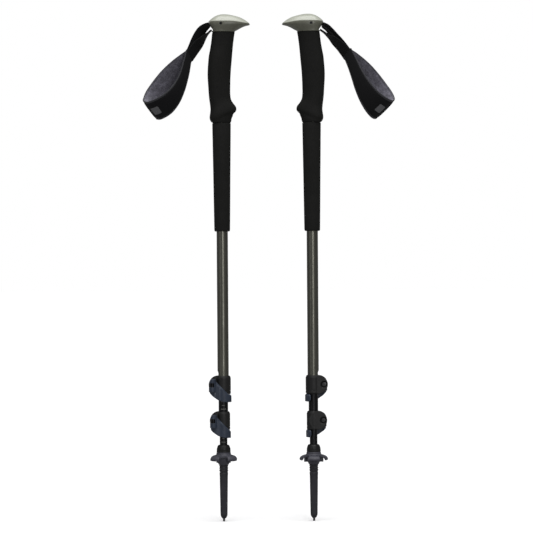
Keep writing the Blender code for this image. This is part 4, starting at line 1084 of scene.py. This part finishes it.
PADS = {}
for side, strap in STRAPS.items():
    stations, widths, shares = pad_stations(strap)
    centre = sum((station[0] for station in stations), Vector()) / len(stations)
    middle = stations[len(stations) // 2]
    inward = 1 if (centre - middle[0]).dot(middle[2]) > 0 else -1
    pad = band("wrist_pad", stations, PAD_RING, lambda i: widths[i], lambda i: pad_thick(shares[i]))
    for material in (facing_cloth, lining_cloth, binding_cloth):
        pad.data.materials.append(material.material)
    for face in pad.data.polygons:
        at = middle_u(pad, face) * len(PAD_RING)
        here = PAD_RING[int(at) % len(PAD_RING)]
        after = PAD_RING[(int(at) + 1) % len(PAD_RING)]
        inside = (here[1] + after[1]) * inward > 0
        bound = abs(here[0] + after[0]) / 2 > (BOUND_INSIDE if inside else BOUND_OUTSIDE)
        face.material_index = 2 if bound else int(inside)
    apply(pad, "SUBSURF", levels=1, render_levels=1)
    PADS[side] = (stations, widths, shares, inward)
    stand(shade(pad, 60), "strap", None, ["wrist_loop"], [side])
    proud = [(point - face * (inward * PAD_THICK / 2), across, face)
             for point, across, face in stations[PATCH_FROM:PATCH_TO]]
    ends = (0, len(proud) - 1)
    print_patch = band("reflective_patch", proud, BAND_RING,
                       lambda i: PATCH_WIDTH - PATCH_TAPER * (i in ends), lambda i: PATCH_THICK)
    stand(shade(print_patch, 60), "strap", reflective, (), [side])

# %% [markdown]
# ### Stitches
# A row of lockstitch holds the binding, just inside each edge, on both faces. One short round-ended
# stitch is modelled, an Array modifier repeats it along the row, and a Curve modifier bends the row
# to the pad. Both are applied, so each row ends as a plain mesh.

# %% Rows of stitches
STITCH, STITCH_GAP, STITCH_RADIUS, STITCH_TAPER = 2.3, 0.9, 0.19, 0.55
STITCH_LINE, STITCH_DEPTH = 0.855, 0.36


def stitch_row(name, points):
    """A row of stitches along a line of points."""
    line = bpy.data.curves.new(name + "_line", "CURVE")
    line.dimensions = "3D"
    spline = line.splines.new("POLY")
    spline.points.add(len(points) - 1)
    for spot, point in zip(spline.points, points):
        spot.co = (*point, 1)
    guide = bpy.data.objects.new(line.name, line)
    bpy.context.scene.collection.objects.link(guide)
    lay_down()
    bpy.ops.mesh.primitive_cylinder_add(vertices=6, radius=STITCH_RADIUS, depth=STITCH)
    row = bpy.context.object
    row.name = name
    bpy.ops.object.mode_set(mode="EDIT")
    bpy.ops.mesh.select_all(action="SELECT")
    bpy.ops.mesh.subdivide(number_cuts=1)
    bpy.ops.object.mode_set(mode="OBJECT")
    for spot in row.data.vertices:
        squeeze = 1.0 if abs(spot.co.z) < STITCH * 0.4 else STITCH_TAPER
        spot.co.x *= squeeze
        spot.co.y *= squeeze
    row.data.transform(Matrix.Translation((STITCH / 2, 0, 0)) @ Matrix.Rotation(math.pi / 2, 4, "Y"))
    length = sum((b - a).length for a, b in zip(points, points[1:]))
    apply(row, "ARRAY", count=int(length / (STITCH + STITCH_GAP)), use_relative_offset=False,
          use_constant_offset=True, constant_offset_displace=(STITCH + STITCH_GAP, 0, 0))
    apply(row, "CURVE", object=guide)
    bpy.data.objects.remove(guide)
    return row


for side, (stations, widths, shares, inward) in PADS.items():
    rows = []
    for edge in (-STITCH_LINE, STITCH_LINE):
        for face_side in (-1, 1):
            points = []
            for (point, across, face), width, share in list(zip(stations, widths, shares))[2:-2]:
                out = face * (face_side * pad_thick(share) / 2 * STITCH_DEPTH)
                points.append(point + across * (edge * width / 2) + out)
            rows.append(stitch_row("row", points))
    stand(shade(joined("pad_stitches", rows), 60), "strap", thread, (), [side])

# %% [markdown]
# ## Pieces that stay as they are
# The bushes, the core, the barrel nuts, the pin, the wedge and the webbing inside the cap already
# have their true shape in CAD. They keep it, and only get their finish.

# %% Finishes for the CAD pieces
KEPT = {
    "lower_bush": bush_nylon, "middle_bush": bush_nylon, "grip_core": core_nylon, "strap_wedge": core_nylon,
    "lower_lock_barrel_nut": dark_steel, "upper_lock_barrel_nut": dark_steel, "strap_pin": dark_steel,
    "strap_anchor": facing_cloth,
}
for side in SIDES:
    for node, finish in KEPT.items():
        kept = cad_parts[f"{side}_{node}"]
        kept.data.materials.clear()
        kept.data.materials.append(finish.material)
print(len(KEPT) * 2, "CAD pieces keep their shape")

# %% [markdown]
# ## Floor, light and camera
# The poles stand on a white sweep in soft light from above and in front. The camera is level and
# far off, so that the poles look straight, and it is turned by a hair, because the poles lean a
# little. Only the camera sees the sky as white: other rays see it grey, so edges stay dark.

# %% Floor
def seen_as(tree, seen, lit, output):
    """Let the camera see one shader, and every other ray another."""
    path = tree.nodes.new("ShaderNodeLightPath")
    blend = tree.nodes.new("ShaderNodeMixShader")
    tree.links.new(path.outputs["Is Camera Ray"], blend.inputs["Fac"])
    tree.links.new(lit, blend.inputs[1])
    tree.links.new(seen, blend.inputs[2])
    tree.links.new(blend.outputs["Shader"], tree.nodes[output].inputs["Surface"])


lay_down()
bpy.ops.mesh.primitive_plane_add(size=60, location=(0, 0, 0))
floor = bpy.context.object
floor.name = "floor"
paper = Finish("white_paper", (0.9, 0.9, 0.9), 0.95, Emission_Color=(1, 1, 1, 1), Emission_Strength=0.16)
paper.tint(paper.noise(3), (0.895, 0.895, 0.895), (0.905, 0.905, 0.905))
dim = paper.node("BsdfDiffuse", {"Color": (0.30, 0.30, 0.30, 1)})
seen_as(paper.material.node_tree, paper.shader.outputs["BSDF"], dim.outputs["BSDF"], "Material Output")
floor.data.materials.append(paper.material)

# %% Sky
world = bpy.data.worlds.new("studio")
bpy.context.scene.world = world
world.use_nodes = True
grey = world.node_tree.nodes["Background"]
grey.inputs["Color"].default_value = (0.15, 0.15, 0.155, 1)
white = world.node_tree.nodes.new("ShaderNodeBackground")
white.inputs["Color"].default_value = (1.0, 1.0, 1.0, 1)
seen_as(world.node_tree, white.outputs["Background"], grey.outputs["Background"], "World Output")

# %% Lights
LIT_POINT = Vector((0, 0, 0.35))


def lamp(name, kind, power, place):
    """Add a light and return its settings. Place is a matrix, and the light shines along its -Z axis."""
    light = bpy.data.lights.new(name, kind)
    light.energy = power
    holder = bpy.data.objects.new(name, light)
    holder.matrix_world = place
    bpy.context.scene.collection.objects.link(holder)
    return light


tilt = Matrix.Rotation(math.radians(12), 4, "Z") @ Matrix.Rotation(math.radians(14), 4, "X")
lamp("top_light", "SUN", 2.9, tilt).angle = math.radians(60)
for name, power, size, place in (("front_box", 12, (0.30, 1.5), (0.50, -2.2, 0.75)),
                                 ("left_box", 2.5, (0.5, 1.6), (-1.5, -1.4, 0.9))):
    aim = (LIT_POINT - Vector(place)).to_track_quat("-Z", "Y").to_matrix().to_4x4()
    box = lamp(name, "AREA", power, Matrix.Translation(place) @ aim)
    box.shape = "RECTANGLE"
    box.size, box.size_y = size

# %% Camera
CAMERA_PLACE, CAMERA_ROLL, LENS = (-0.0041, -3.195, 0.346), -0.38, 159
camera_data = bpy.data.cameras.new("camera")
camera_data.lens = LENS
camera_data.sensor_width = 36
camera_data.clip_end = 100
camera = bpy.data.objects.new("camera", camera_data)
camera.matrix_world = (Matrix.Translation(CAMERA_PLACE) @ Matrix.Rotation(math.pi / 2, 4, "X")
                       @ Matrix.Rotation(math.radians(CAMERA_ROLL), 4, "Z"))
bpy.context.scene.collection.objects.link(camera)
bpy.context.scene.camera = camera
bpy.context.scene.view_settings.view_transform = "Standard"
